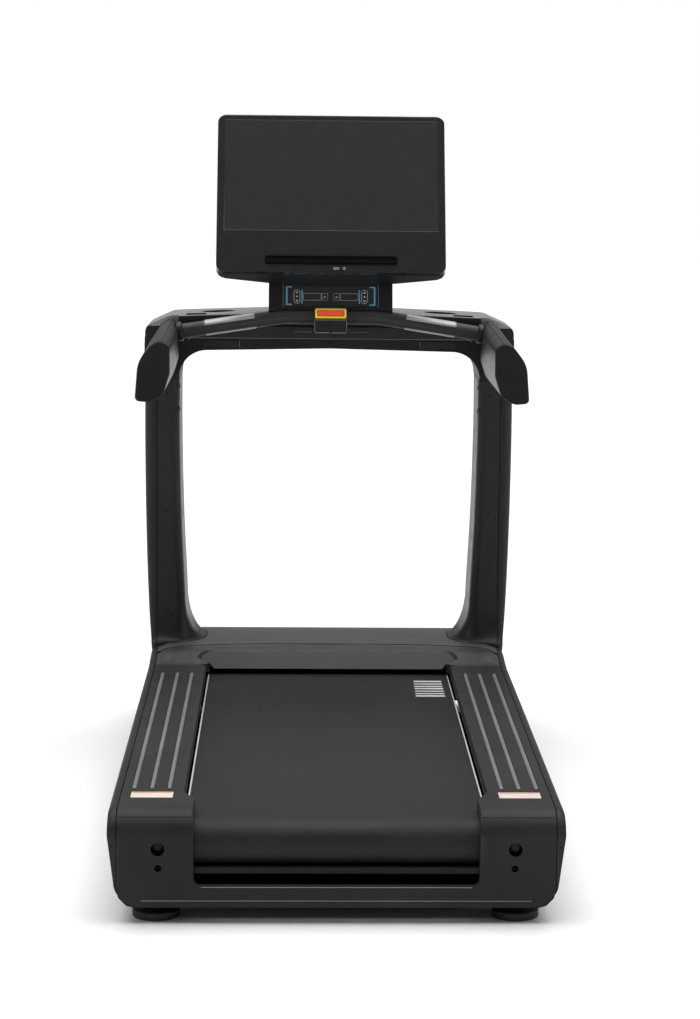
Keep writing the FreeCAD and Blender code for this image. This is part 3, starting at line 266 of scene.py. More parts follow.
DECK = finish_of("deck_laminate", (0.70, 0.69, 0.66), 0.5, grain=200.0, stretch=(6, 0.6, 6), tone=0.10)
RUBBER = finish_of("moulded_rubber", (0.016, 0.016, 0.016), 0.68, grain=900.0, strength=0.6)
LEDGE = finish_of("ledge_rubber", (0.006, 0.006, 0.006), 0.6, grain=900.0, specular=0.06)
SCREW_BLACK = finish_of("black_oxide", (0.016, 0.016, 0.017), 0.30, metal=0.6, grain=600.0)
GRIP = finish_of("grip_foam", (0.022, 0.022, 0.023), 0.55, grain=1500.0, depth=0.00016, strength=0.7)
GLOSS = finish_of("gloss_black", (0.012, 0.012, 0.0125), 0.16, grain=300.0, depth=0.00001, strength=0.1,
                  swing=0.05, coat=0.6, dents=0.03)
PICTURE = finish_of("unlit_display", (0.022, 0.0205, 0.0195), 0.22, grain=5000.0, depth=0.00001,
                    strength=0.1, swing=0.03, coat=0.4, tone=0.02, dents=0.01)
WINDOW = finish_of("smoked_window", (0.010, 0.011, 0.013), 0.12, grain=300.0, depth=0.00001, strength=0.1,
                   swing=0.03, coat=0.8)
PULSE = finish_of("pulse_plate", (0.36, 0.36, 0.35), 0.38, metal=0.35, grain=900.0, depth=0.00004)
STOP_RED = finish_of("stop_red", (0.90, 0.075, 0.020), 0.42, grain=900.0, depth=0.00004, tone=0.06,
                     specular=0.2)
STOP_YELLOW = finish_of("stop_yellow", (0.92, 0.76, 0.015), 0.40, grain=900.0, depth=0.00004, tone=0.06,
                        specular=0.3)
PRINT_WHITE = finish_of("white_print", (0.62, 0.62, 0.61), 0.6, grain=700.0, strength=0.5, tone=0.2)
PRINT_GREY = finish_of("grey_print", (0.28, 0.28, 0.27), 0.5, grain=900.0)
PRINT_BLUE = finish_of("blue_print", (0.10, 0.46, 0.72), 0.45, grain=900.0, tone=0.08)
LABEL = finish_of("label_film", (0.70, 0.62, 0.56), 0.45, grain=600.0, tone=0.12)
LABEL_EDGE = finish_of("label_edge", (0.60, 0.22, 0.10), 0.45, grain=600.0, tone=0.12)
BELT = belt_surface()


SHAPED = []


# ---- mesh helpers ----
def link_piece(name, mesh, material, body, smooth, replaces):
    """Puts a mesh in the scene as a named piece that rides on its body."""
    piece = bpy.data.objects.new(name, mesh)
    bpy.context.scene.collection.objects.link(piece)
    mesh.materials.append(material)
    mesh.shade_smooth()
    mesh.set_sharp_from_angle(angle=math.radians(smooth))
    SHAPED.append(piece)
    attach(piece, body)
    if replaces:
        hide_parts(*replaces)
    return piece


def piece_from(name, points, faces, material, body="root", smooth=40, replaces=(), slot=None):
    """Piece made of points in millimetres, with doubled points joined."""
    mesh = bpy.data.meshes.new(name)
    mesh.from_pydata([Vector(p) * MM for p in points], [], faces)
    work = bmesh.new()
    work.from_mesh(mesh)
    bmesh.ops.remove_doubles(work, verts=work.verts, dist=1e-6)
    bmesh.ops.dissolve_degenerate(work, edges=work.edges, dist=1e-7)
    bmesh.ops.recalc_face_normals(work, faces=work.faces)
    work.to_mesh(mesh)
    work.free()
    return link_piece(name, mesh, material, body, smooth, replaces)


def rounded(corners, steps=6, closed=True):
    """Points along (a, b) or (a, b, radius) corners, with arcs at the radii."""
    points = []
    count = len(corners)
    for index, corner in enumerate(corners):
        here = Vector(corner[:2])
        radius = corner[2] if len(corner) > 2 else 0.0
        at_end = not closed and index in (0, count - 1)
        if radius <= 0.0 or at_end:
            points.append(here)
            continue
        back = (Vector(corners[index - 1][:2]) - here).normalized()
        ahead = (Vector(corners[(index + 1) % count][:2]) - here).normalized()
        half = math.acos(max(-1.0, min(1.0, back.dot(ahead)))) / 2.0
        centre = here + (back + ahead).normalized() * (radius / math.sin(half))
        start = here + back * (radius / math.tan(half)) - centre
        end = here + ahead * (radius / math.tan(half)) - centre
        turn = math.atan2(start.x * end.y - start.y * end.x, start.dot(end))
        for step in range(steps + 1):
            angle = turn * step / steps
            cosine, sine = math.cos(angle), math.sin(angle)
            arm = Vector((start.x * cosine - start.y * sine, start.x * sine + start.y * cosine))
            points.append(centre + arm)
    return points


def grid_faces(rows, columns, wrap_columns=False, wrap_rows=False):
    """Four-sided faces of a grid whose points are numbered row by row."""
    faces = []
    for row in range(rows if wrap_rows else rows - 1):
        for column in range(columns if wrap_columns else columns - 1):
            a = row * columns + column
            b = row * columns + (column + 1) % columns
            below = ((row + 1) % rows) * columns
            faces.append((a, b, below + (column + 1) % columns, below + column))
    return faces


def lofted(name, rows, material, closed=False, caps=(False, False), **options):
    """Skin over rows of points; closed joins each row's ends; caps fill the first and last row."""
    columns = len(rows[0])
    points = [p for row in rows for p in row]
    faces = grid_faces(len(rows), columns, wrap_columns=closed)
    if caps[0]:
        faces.append(tuple(range(columns)))
    if caps[1]:
        last = (len(rows) - 1) * columns
        faces.append(tuple(range(last, last + columns)))
    return piece_from(name, points, faces, material, **options)


def thicken(piece, thickness, offset=-1.0, even=False):
    modifier = piece.modifiers.new("wall", "SOLIDIFY")
    modifier.thickness = thickness * MM
    modifier.offset = offset
    modifier.use_even_offset = even
    return piece


def soften(piece, width, segments=2, angle=35.0):
    modifier = piece.modifiers.new("edges", "BEVEL")
    modifier.width = width * MM
    modifier.segments = segments
    modifier.limit_method = "ANGLE"
    modifier.angle_limit = math.radians(angle)
    return piece


def even_normals():
    """Broad faces stay flat-looking beside their rounded edges."""
    for piece in SHAPED:
        modifier = piece.modifiers.new("face normals", "WEIGHTED_NORMAL")
        modifier.keep_sharp = True


def flat_shape(loops, place):
    """A triangulated flat shape from an outline and its holes; place turns (a, b) into a point."""
    flat = [[Vector((p[0], p[1], 0.0)) for p in loop] for loop in loops]
    triangles = tessellate_polygon(flat)
    points = [place(p.x, p.y) for loop in flat for p in loop]
    return points, [tuple(t) for t in triangles]


def plate(name, loops, place, material, thickness, bevel=0.4, offset=-1.0, **options):
    """A thin plate with rounded edges: its outline and holes, given some thickness."""
    points, faces = flat_shape(loops, place)
    piece = piece_from(name, points, faces, material, **options)
    thicken(piece, thickness, offset)
    if bevel > 0.0:
        soften(piece, bevel)
    return piece


def circle(a, b, radius, steps=32):
    return [Vector((a + radius * math.cos(math.tau * k / steps), b + radius * math.sin(math.tau * k / steps)))
            for k in range(steps)]


def rectangle(a0, a1, b0, b1, radius=0.0):
    return rounded([(a0, b0, radius), (a1, b0, radius), (a1, b1, radius), (a0, b1, radius)])


def rail_curve(points, radius, steps=10):
    """A polyline in space with its inner corners rounded."""
    path = [Vector(points[0])]
    for before, here, after in zip(points, points[1:], points[2:]):
        here = Vector(here)
        back = (Vector(before) - here).normalized()
        ahead = (Vector(after) - here).normalized()
        half = back.angle(ahead) / 2.0
        setback = radius / math.tan(half)
        start, end = here + back * setback, here + ahead * setback
        for step in range(steps + 1):
            t = step / steps
            path.append((1 - t) ** 2 * start + 2 * t * (1 - t) * here + t * t * end)
    path.append(Vector(points[-1]))
    return path


def ring_rows(path, radius_at, sides, start=0.0, sweep=math.tau, up=Vector((0, 0, 1))):
    """Rings of points round a path; radius_at(t, angle) gives each point's distance."""
    rows = []
    lengths = [0.0]
    for a, b in zip(path, path[1:]):
        lengths.append(lengths[-1] + (b - a).length)
    whole = abs(sweep - math.tau) < 1e-6
    for index, point in enumerate(path):
        ahead = path[min(index + 1, len(path) - 1)] - path[max(index - 1, 0)]
        ahead.normalize()
        side = ahead.cross(up).normalized()
        top = side.cross(ahead).normalized()
        t = lengths[index] / lengths[-1]
        row = []
        for k in range(sides if whole else sides + 1):
            angle = start + sweep * k / sides
            radius = radius_at(t, angle)
            row.append(point + top * (radius * math.cos(angle)) + side * (radius * math.sin(angle)))
        rows.append(row)
    return rows


def cord_line(name, points, radius, material, body="root", closed=False, up=Vector((0, 0, 1))):
    """A thin raised line along points in space: a dark seam, or a light line that paints a highlight along an
    edge.
    """
    path = [Vector(p) for p in points]
    if closed:
        path = path + [path[0], path[1]]
    rows = ring_rows(path, lambda t, angle: radius, 8, up=up)
    return lofted(name, rows, material, closed=True, caps=(not closed, not closed), body=body)


def flipped(rows, sign):
    """Rows of points on the right side (sign 1) or mirrored to the left (sign -1)."""
    return [[(sign * p[0], p[1], p[2]) for p in row] for row in rows]


def once(sign, *nodes):
    """Nodes that a left and right pair replaces, named on the right-hand piece alone."""
    return nodes if sign > 0 else ()


def level(height):
    """Turns flat (a, b) points into points on a horizontal plane."""
    return lambda a, b: (a, b, height)


def facing_rear(y):
    """Turns flat (a, b) points into points on an upright plane facing the walker."""
    return lambda a, b: (a, y, b)


def gathered(outlines, place):
    """Several flat outlines as one list of points and one of triangles."""
    points, faces = [], []
    for outline in outlines:
        more, triangles = flat_shape([outline], place)
        faces += [tuple(i + len(points) for i in t) for t in triangles]
        points += more
    return points, faces


def smooth_step(low, high, value):
    t = max(0.0, min(1.0, (value - low) / (high - low)))
    return t * t * (3 - 2 * t)


def between(low, high, count):
    return [low + (high - low) * k / count for k in range(count + 1)]


def curve_value(table, at):
    """Smooth value through (key, value) pairs in rising order of key."""
    keys = [k for k, _ in table]
    values = [v for _, v in table]
    if at <= keys[0]:
        return values[0]
    if at >= keys[-1]:
        return values[-1]
    index = max(i for i, k in enumerate(keys) if k <= at)
    k0, k1 = keys[index], keys[index + 1]
    slope = [0.0] * len(keys)
    for i in range(1, len(keys) - 1):
        slope[i] = (values[i + 1] - values[i - 1]) / (keys[i + 1] - keys[i - 1])
    slope[0] = (values[1] - values[0]) / (keys[1] - keys[0])
    slope[-1] = (values[-1] - values[-2]) / (keys[-1] - keys[-2])
    t = (at - k0) / (k1 - k0)
    span = k1 - k0
    leaving = (2 * t ** 3 - 3 * t ** 2 + 1) * values[index] + (t ** 3 - 2 * t ** 2 + t) * span * slope[index]
    arriving = (3 * t ** 2 - 2 * t ** 3) * values[index + 1] + (t ** 3 - t ** 2) * span * slope[index + 1]
    return leaving + arriving


# ---- running belt ----
def make_belt():
    loop = []
    for start, end, height, quarter in ((REAR_ROLLER_Y, FRONT_ROLLER_Y, ROLLER_Z - BELT_RADIUS, math.pi / 2),
                                        (FRONT_ROLLER_Y, REAR_ROLLER_Y, BELT_TOP, -math.pi / 2)):
        for angle in between(quarter, quarter + math.pi, 32):
            loop.append((start + BELT_RADIUS * math.cos(angle), ROLLER_Z + BELT_RADIUS * math.sin(angle)))
        loop += [(y, height) for y in between(start, end, 40)[1:-1]]
    rows = [[(x, y, z) for y, z in loop] for x in between(-BELT_HALF, BELT_HALF, 12)]
    belt = lofted("running_belt_weave", rows, BELT, closed=True, smooth=50,
                  replaces=("running_belt",), slot="belt")
    thicken(belt, 2.4)
    soften(belt, 0.5)


def make_belt_marks():
    """Seven plain white bars printed near the front right of the belt."""
    outlines = []
    for index in range(7):
        y = 176.0 + index * 29.5
        depth = 17.0 if index in (0, 3, 6) else 13.0
        outlines.append(rectangle(209 + index * 0.3, 280, y, y + depth, 1.5))
    points, faces = gathered(outlines, level(BELT_TOP + 0.25))
    bars = piece_from("belt_printed_bars", points, faces, PRINT_WHITE, slot="plate")
    thicken(bars, 0.2)


# ---- foot rails and base covers ----
def rail_inner_edge(y):
    """The rail is wider at the walking end, beside the rear roller."""
    if y <= -955:
        return MOUTH_HALF
    if y >= -895:
        return RAIL_INNER
    return MOUTH_HALF + (RAIL_INNER - MOUTH_HALF) * (y + 955) / 60.0


def groove_depth(x, y):
    """The shallow slot that each tread rib sits in."""
    for rib in RIB_X:
        along = max(RIB_REAR, min(RIB_FRONT, y))
        if math.hypot(x - rib, y - along) < 5.6:
            return 1.6
    return 0.0


def make_tread_ribs():
    """Raised, lighter tread bars with rounded heads, three on each foot rail."""
    for side, sign in SIDES:
        for index, rib in enumerate(RIB_X):
            rows = []
            for share in (1.0, 0.98, 0.90, 0.74, 0.5, 0.25, 0.0):
                height = 2.9 * math.sqrt(max(0.0, 1 - share ** 2))
                ring = rectangle(rib - RIB_HALF * share, rib + RIB_HALF * share,
                                 RIB_REAR - RIB_HALF * share, RIB_FRONT + RIB_HALF * share,
                                 max(0.01, RIB_HALF * share - 0.01))
                rows.append([(sign * p.x, p.y, RAIL_TOP - 1.2 + height * 1.35) for p in ring])
            lofted("rail_rib_%s_%d" % (side, index + 1), rows, RIB, closed=True, caps=(True, False),
                   smooth=60, slot="covers")


def make_foot_rails():
    """Ribbed rail tops beside the belt, bent down at the rear end."""
    inner_wall = [(0.0, 219.0), (0.7, 222.6), (2.4, 224.4), (5.0, RAIL_TOP)]
    tops = [318.0, 326.0]
    for rib in RIB_X:
        tops += [rib + d for d in (-6.5, -5.8, -5.4, -2.0, 2.0, 5.4, 5.8, 6.5)]
    tops += [422.0, 428.0, 430.4]
    ys = [-1058.6]
    ys += [BEND_START - BEND_RADIUS * math.sin(math.radians(a)) for a in (39, 34, 28, 22, 16, 10, 5)]
    ys += [BEND_START, -1000, -975, -955.5, -955, -940, -925, -910, -895.5, -895, -885]
    ys += [-876, -873.6, -873.2, -872, -870, -868, -864, -800]
    ys += between(-700, 250, 10) + [310, 325, 327, 329, 330.2, 330.6, 332, 345, 380, 410, 430, 432.4]
    rows = []
    for y in ys:
        drop = 0.0
        if y < BEND_START:
            drop = BEND_RADIUS - math.sqrt(BEND_RADIUS ** 2 - (y - BEND_START) ** 2)
        edge = rail_inner_edge(y)
        row = [(edge, y, RAIL_DROP_Z - min(drop, 2.0))]
        row += [(edge + step, y, z - drop) for step, z in inner_wall]
        row += [(x, y, RAIL_TOP - drop - groove_depth(x, y)) for x in tops]
        row += [(RAIL_EDGE, y, RAIL_TOP - 0.9 - drop), (RAIL_EDGE, y, 210.0 - min(drop, 6.0))]
        rows.append(row)
    for side, sign in SIDES:
        rail = lofted("foot_rail_" + side, flipped(rows, sign), RAIL, smooth=42,
                      replaces=once(sign, "foot_rails"), slot="covers")
        thicken(rail, WALL)
    for side, sign in SIDES:
        for index, x in enumerate(RIB_X):
            plate("rib_end_plug_%s_%d" % (side, index + 1), [circle(sign * x, RIB_REAR - 12.0, 3.2, 16)],
                  level(RAIL_TOP + 0.7), RUBBER, 0.9, 0.25, slot="rubber")


def make_rear_highlight_lines():
    """Painted highlights: fine raised lines in the light tread-rib colour along the skirt crease and under
    the belt's mouth, where light catches those edges.
    """
    cord_line("rear_skirt_highlight_line", [(-384, REAR_WALL, 48), (384, REAR_WALL, 48)], 0.6, RIB)
    cord_line("rear_mouth_highlight_line", [(-266, REAR_WALL, 75.4), (266, REAR_WALL, 75.4)], 0.7, RIB)


def make_rail_plates():
    """Small blank plates at the rear of the foot rails."""
    for side, sign in SIDES:
        low, high = sorted((sign * 327.0, sign * 411.0))
        plate("rail_plate_" + side, [rectangle(low, high, -953, -905, 2.5)],
              level(RAIL_TOP + 0.9), LABEL, 0.8, 0.2,
              replaces=once(sign, "rail_plates"), slot="plate")
        plate("rail_plate_stripe_" + side, [rectangle(low + 3, high - 3, -914, -908, 0.8)],
              level(RAIL_TOP + 1.05), LABEL_EDGE, 0.3, 0.0, slot="plate")


def side_outline(rise=0.0):
    """Side cover's section, its top edge lifted by rise where it meets the hood."""
    seam = COVER_SEAM + SEAM_GAP
    corners = [(seam, 214.0), (seam, RAIL_TOP + rise, 0.8), (HALF_WIDTH, RAIL_TOP + 0.6 * rise, 12.0),
               (HALF_WIDTH, 190, 60.0), (436, 68, 30.0), (408, 35, 14.0), (399, 35)]
    return rounded(corners, 8, closed=False)


def squeezed(z, drop):
    """Height z of the side cover's section where its top has dropped round the rear bend."""
    if z < SHOULDER_Z:
        return z
    return SHOULDER_Z + (z - SHOULDER_Z) * (RAIL_TOP - drop - SHOULDER_Z) / (RAIL_TOP - SHOULDER_Z)


def make_side_covers():
    """Long side mouldings from the hood round the rear bend."""
    seam = COVER_SEAM + SEAM_GAP
    outline = side_outline()
    rows = []
    straight = (599.3, 580, 560, 540, 520, 500, 480, 460, 440, 425, 200, 0, -300, -600, -900, -1000)
    for y in straight + (BEND_START,):
        rise = EDGE_RISE * smooth_step(RAIL_FRONT, HOOD_SEAM, y)
        rows.append([(p.x, y, p.y) for p in side_outline(rise)])
    for angle in between(8, 72, 8):
        y = BEND_START - BEND_RADIUS * math.sin(math.radians(angle))
        drop = BEND_RADIUS - BEND_RADIUS * math.cos(math.radians(angle))
        rows.append([(p.x, y, squeezed(p.y, drop)) for p in outline])
    for inset, y, drop in ((0.4, -1073.2, 40.0), (1.4, -1074.0, 45.0), (2.6, REAR_WALL, 48.0)):
        row = []
        for p in outline:
            x = max(seam, p.x - inset) if p.x > seam else p.x
            row.append((x, y, squeezed(p.y, drop) + (inset * 0.5 if p.y < 60 else 0.0)))
        rows.append(row)
    rows.append([(min(x, seam), y, z) for x, y, z in rows[-1]])
    for side, sign in SIDES:
        cover = lofted("side_cover_" + side, flipped(rows, sign), COVER, smooth=38,
                       replaces=once(sign, "side_covers"), slot="covers")
        thicken(cover, 3.0)


def rear_bend(z):
    """Y of the rear face at height z: skirt leaning in, upright wall, then the top arc."""
    if z < 48:
        return REAR_WALL + (48 - z) * 0.12
    low = RAIL_TOP - BEND_RADIUS
    if z <= low:
        return REAR_WALL
    return REAR_WALL + BEND_RADIUS - math.sqrt(BEND_RADIUS ** 2 - (z - low) ** 2)


def cut_planes(work, axis, places, wanted=lambda face: True):
    """Cuts the wanted faces of a mesh along planes square to an axis: 0 for x, 2 for z."""
    for place in places:
        point, normal = Vector(), Vector()
        point[axis], normal[axis] = place * MM, 1.0
        chosen = [v for v in work.verts if any(wanted(f) for f in v.link_faces)]
        chosen += [e for e in work.edges if any(wanted(f) for f in e.link_faces)]
        chosen += [f for f in work.faces if wanted(f)]
        bmesh.ops.bisect_plane(work, geom=chosen, plane_co=point, plane_no=normal, dist=1e-6)


def make_rear_end_cover():
    """One bent sheet with a mouth for the belt, cut finely enough to follow the bend."""
    edge = COVER_SEAM - SEAM_GAP
    corners = [(-399, 34), (399, 34), (413, 38, 6), (428, 54, 8), (edge, 66), (edge, 211.4),
               (MOUTH_HALF, 211.4), (MOUTH_HALF, MOUTH_LOW, 15), (-MOUTH_HALF, MOUTH_LOW, 15),
               (-MOUTH_HALF, 211.4), (-edge, 211.4), (-edge, 66), (-428, 54, 8), (-413, 38, 6)]
    loops = [rounded(corners, 6)]
    for sign in (-1, 1):
        loops += [circle(sign * 351, 151, 13.5, 40), circle(sign * 350, 113, 7.0, 28)]
        loops.append(circle(sign * 180, 56, 4.6, 20))
    points, faces = flat_shape(loops, facing_rear(0.0))
    mesh = bpy.data.meshes.new("rear_end_cover_shell")
    mesh.from_pydata([Vector(p) * MM for p in points], [], faces)
    work = bmesh.new()
    work.from_mesh(mesh)
    bmesh.ops.dissolve_limit(work, angle_limit=0.01, verts=work.verts, edges=work.edges)
    heights = [34 + 4 * k for k in range(4)] + [47.3, 48.0, 48.7, 52, 66, 77, 92, 130, 165]
    cut_planes(work, 2, heights + [175 + 3.4 * k for k in range(11)])
    for x in (230, 282, 300, 320, 334, 368, 382, 400, 415, 425):
        cut_planes(work, 0, (-x, x))
    for vertex in work.verts:
        vertex.co.y = rear_bend(vertex.co.z / MM) * MM
    bmesh.ops.triangulate(work, faces=[f for f in work.faces if len(f.verts) > 6])
    bmesh.ops.recalc_face_normals(work, faces=work.faces)
    if sum(f.normal.y for f in work.faces) > 0:
        bmesh.ops.reverse_faces(work, faces=work.faces)
    work.to_mesh(mesh)
    work.free()
    cover = link_piece("rear_end_cover_shell", mesh, COVER, "root", 30, ("rear_end_cover",))
    thicken(cover, 3.4)
    soften(cover, 1.0, 3, 50)


def make_mouth_lip():
    """Return flange round the belt's mouth."""
    mouth = rounded([(-MOUTH_HALF, MOUTH_TOP), (-MOUTH_HALF, MOUTH_LOW, 15), (MOUTH_HALF, MOUTH_LOW, 15),
                     (MOUTH_HALF, MOUTH_TOP)], 8, closed=False)
    rows = []
    for y, out in ((-1072.5, 1.2), (-1072.0, 0.2), (-1063.5, 0.2)):
        rows.append([(p.x + math.copysign(out, p.x), max(y, rear_bend(p.y) + 2.5), p.y - out) for p in mouth])
    lip = lofted("rear_mouth_lip", rows, COVER, slot="covers")
    thicken(lip, 2.0, 1.0)


# ---- hood ----
def soft_min(a, b, width):
    """The smaller of two values, blended where they differ by less than width."""
    h = max(width - abs(a - b), 0.0) / width
    return min(a, b) - h * h * width / 4


def hood_seam_y(x):
    """The seam between the two hood covers bows toward the front."""
    return 597.0 - 66.0 * (abs(x) / COVER_SEAM) ** 3.2


def ramp_half(y):
    """Half width of the belt ramp's recess, with rounded upper corners."""
    if y <= 474:
        return 287.0 + 1.36 * (y - RAMP_FOOT)
    return 276.0 + 45.0 * math.sqrt(max(0.0, 1 - ((y - 474) / 41.0) ** 2))


def hood_height(x, y):
    """Height of the hood's top, its side roll and the ramp down to the belt."""
    ax = abs(x)
    top = RAIL_TOP + (HOOD_TOP - RAIL_TOP) * smooth_step(RAIL_FRONT, 515, y)
    edge = RAIL_TOP + EDGE_RISE * smooth_step(RAIL_FRONT, HOOD_SEAM, y)
    if ax > ROLL_START:
        share = ((ax - ROLL_START) / (COVER_SEAM - ROLL_START)) ** 2
        top = top * (1 - share) + edge * share
    if y > 520:
        return top
    ramp = RAMP_LOW + RAMP_SLOPE * (y - RAMP_FOOT) + 1.7 * max(0.0, ax - ramp_half(y))
    return soft_min(top, ramp, 3.0)


def hood_rear_edge(x):
    """The ramp starts further forward than the ears that lie on the foot rails."""
    return EAR_REAR + (RAMP_FOOT - EAR_REAR) * max(0.0, min(1.0, (322 - abs(x)) / 22.0))


def make_hood_rear_cover():
    xs = between(0, 250, 10) + between(255, 345, 36) + between(350, 425, 12) + [429, 431.3]
    xs = [-x for x in reversed(xs[1:])] + xs
    shares = [0.0, 0.01, 0.03] + between(0.05, 0.50, 36) + between(0.53, 0.97, 10) + [0.99, 1.0]
    first, lip = [], []
    for x in xs:
        y = hood_rear_edge(x) + 1.0
        z = min(hood_height(x, y - 1.0) - 1.0, 223.0)
        first.append((x, y, z))
        lip.append((x, y + 5.0, z - 2.0) if abs(x) < 296 else (x, y + 0.5, 204.0))
    rows = [lip, first]
    for share in shares:
        row = []
        for x in xs:
            start, end = hood_rear_edge(x), hood_seam_y(x) - SEAM_GAP
            y = start + (end - start) * share + (0.3 if share == 0.0 else 0.0)
            row.append((x, y, hood_height(x, y)))
        rows.append(row)
    rows.append([(p[0], p[1] + 0.4, p[2] - 3.0) for p in rows[-1]])
    # The rear hood cover takes the darker copy of the hood plastic, which paints the ramp's shade.
    cover = lofted("hood_rear_cover_shell", rows, RAMP_PAINTED_SHADE, smooth=50, replaces=("hood_rear_cover",),
                   slot="hood")
    thicken(cover, 2.4)


def hood_front_section(half, top):
    """Right half of the hood's outline at one station, from the lower lip to the middle of the top."""
    share = (top - 35) / (HOOD_TOP - 35)
    corners = [(half - 51, 35), (half - 42, 35, 14.0), (half - 14, 35 + 33 * share, 30.0 * share),
               (half, 35 + 155 * share, 60.0 * share), (half, top - 15 * share, 14.0 * share),
               (half - 45, top, 32.0 * share), (0, top)]
    points = rounded(corners, 6, closed=False)
    seam = half - HALF_WIDTH + COVER_SEAM
    split = []
    for here, after in zip(points, points[1:]):
        split.append(here)
        for x in (seam + 0.6, seam - 0.6):
            if here.x > x > after.x and here.y > 0.5 * top:
                split.append(here.lerp(after, (here.x - x) / (here.x - after.x)))
    return split + [points[-1]]


def open_window(cover, span_x, span_z):
    """Cuts the power inlet's rectangular window through the nose of the hood."""
    def on_nose(face):
        return face.calc_center_median().y > NOSE_START * MM

    work = bmesh.new()
    work.from_mesh(cover.data)
    cut_planes(work, 0, span_x, on_nose)
    cut_planes(work, 2, span_z, on_nose)
    inside = []
    for face in filter(on_nose, work.faces):
        middle = face.calc_center_median() / MM
        if span_x[0] < middle.x < span_x[1] and span_z[0] < middle.z < span_z[1]:
            inside.append(face)
    bmesh.ops.delete(work, geom=inside, context="FACES")
    work.to_mesh(cover.data)
    work.free()


def make_hood_front_cover():
    around_nose = [NOSE_BEND + NOSE_RADIUS * math.sin(math.radians(a)) for a in between(0, 90, 16)]
    profile = [(600, 250), (800, 250), (850, 248), (890, 241), (940, 226), (985, 208), (1022, 192),
               (1050, 178), (1068, 166), (1075, 155)]
    rows = []
    for y in [600, 640, 700, 760, 800, 850, 900] + around_nose:
        half = HALF_WIDTH
        if y > NOSE_BEND:
            half = HALF_WIDTH - NOSE_RADIUS + math.sqrt(max(0.0, NOSE_RADIUS ** 2 - (y - NOSE_BEND) ** 2))
        section = hood_front_section(half, curve_value(profile, y))
        full = section + [Vector((-p.x, p.y)) for p in reversed(section[:-1])]
        row = []
        for p in full:
            on_top = p.y > 215 and abs(p.x) < COVER_SEAM
            start = hood_seam_y(p.x) + SEAM_GAP if y == HOOD_SEAM and on_top else y
            row.append((p.x, start, p.y))
        rows.append(row)
    for inset, y in ((2.0, 1074.6), (5.0, 1075.0)):
        row = []
        for p in rows[-1]:
            row.append((p[0] * (1 - inset / 310.0), y, p[2] + (inset if p[2] < 95 else -inset) * 0.6))
        rows.append(row)
    cover = lofted("hood_front_cover_shell", rows, HOOD, caps=(False, True), smooth=45,
                   replaces=("hood_front_cover",), slot="hood")
    open_window(cover, INLET_X, INLET_Z)
    thicken(cover, WALL)
    seam = [(x, hood_seam_y(x), hood_height(x, hood_seam_y(x)) + 0.1) for x in between(-430, 430, 43)]
    cord_line("hood_seam_line", seam, 1.1, LEDGE)


# ---- uprights ----
FILLET_TOP = 352.0
OUTER_EDGE = [(226, 449.3), (330, 459), (560, 467), (780, 469.6), (930, 469)]
INNER_EDGE = [(226, 362), (370, 366), (560, 375), (780, 380), (930, 380)]


def flare(z):
    """0 on the straight post, 1 at the hood, along an elliptical fillet."""
    share = max(0.0, min(1.0, (FILLET_TOP - z) / (FILLET_TOP - HOOD_TOP)))
    return 1.0 - math.sqrt(1.0 - share ** 2)


def upright_section(z):
    """Corner points of one upright at height z, as (x, y, radius), right side."""
    out = curve_value(OUTER_EDGE, z)
    spread = min(1.0, flare(z))
    inner = curve_value(INNER_EDGE, z) - 55.0 * spread
    rear = 640.0 - 38.0 * spread
    front = 840.0 + 24.0 * spread
    corner = 22.0 + 98.0 * spread
    return out, inner, rear, front, corner


def make_uprights():
    heights = [226.5, 232, 238]
    heights += [FILLET_TOP - (FILLET_TOP - HOOD_TOP) * math.cos(math.radians(a)) for a in between(0, 86, 22)]
    heights += [362, 376, 396, 430] + between(480, 920, 11) + [929.5]
    inner_rows, outer_rows = [], []
    for z in heights:
        out, inner, rear, front, corner = upright_section(z)
        seam = UPRIGHT_SPLIT
        corners = [(seam + 5, rear + 5), (seam - 0.5, rear + 4), (seam - 0.5, rear, 0.8),
                   (inner, rear, corner), (inner, front, corner), (seam - 0.5, front, 0.8),
                   (seam - 0.5, front - 4), (seam + 5, front - 5)]
        if z >= 238:
            inner_rows.append([(p.x, p.y, z) for p in rounded(corners, 9, closed=False)])
        turn = max(4.0, min(28.0, out - seam - 3.0))
        corners = [(seam + 0.7, rear + 3), (seam + 0.7, rear, 0.8), (out, rear, turn), (out, front, turn),
                   (seam + 0.7, front, 0.8), (seam + 0.7, front - 3)]
        outer_rows.append([(p.x, p.y, z) for p in rounded(corners, 9, closed=False)])
    out, inner, rear, front, corner = upright_section(250.6)
    ring = rounded([(out, rear, 8), (inner, rear, corner), (inner, front, corner), (out, front, 8)], 14)
    foot = []
    for p in ring:
        if p.x < COVER_SEAM:
            foot.append((p.x, p.y, HOOD_TOP + 0.3 - 9.0 * max(0.0, (p.x - 385) / 47.0) ** 2))
    for side, sign in SIDES:
        inner_cover = lofted("upright_inner_cover_" + side, flipped(inner_rows, sign), UPPER, smooth=40,
                             replaces=once(sign, "upright_inner_covers"), slot="upper_covers")
        outer_cover = lofted("upright_outer_cover_" + side, flipped(outer_rows, sign), COVER, smooth=40,
                             replaces=once(sign, "upright_outer_covers"), slot="covers")
        thicken(inner_cover, WALL)
        thicken(outer_cover, WALL)
        cord_line("upright_foot_seam_" + side, flipped([foot], sign)[0], 1.1, LEDGE)


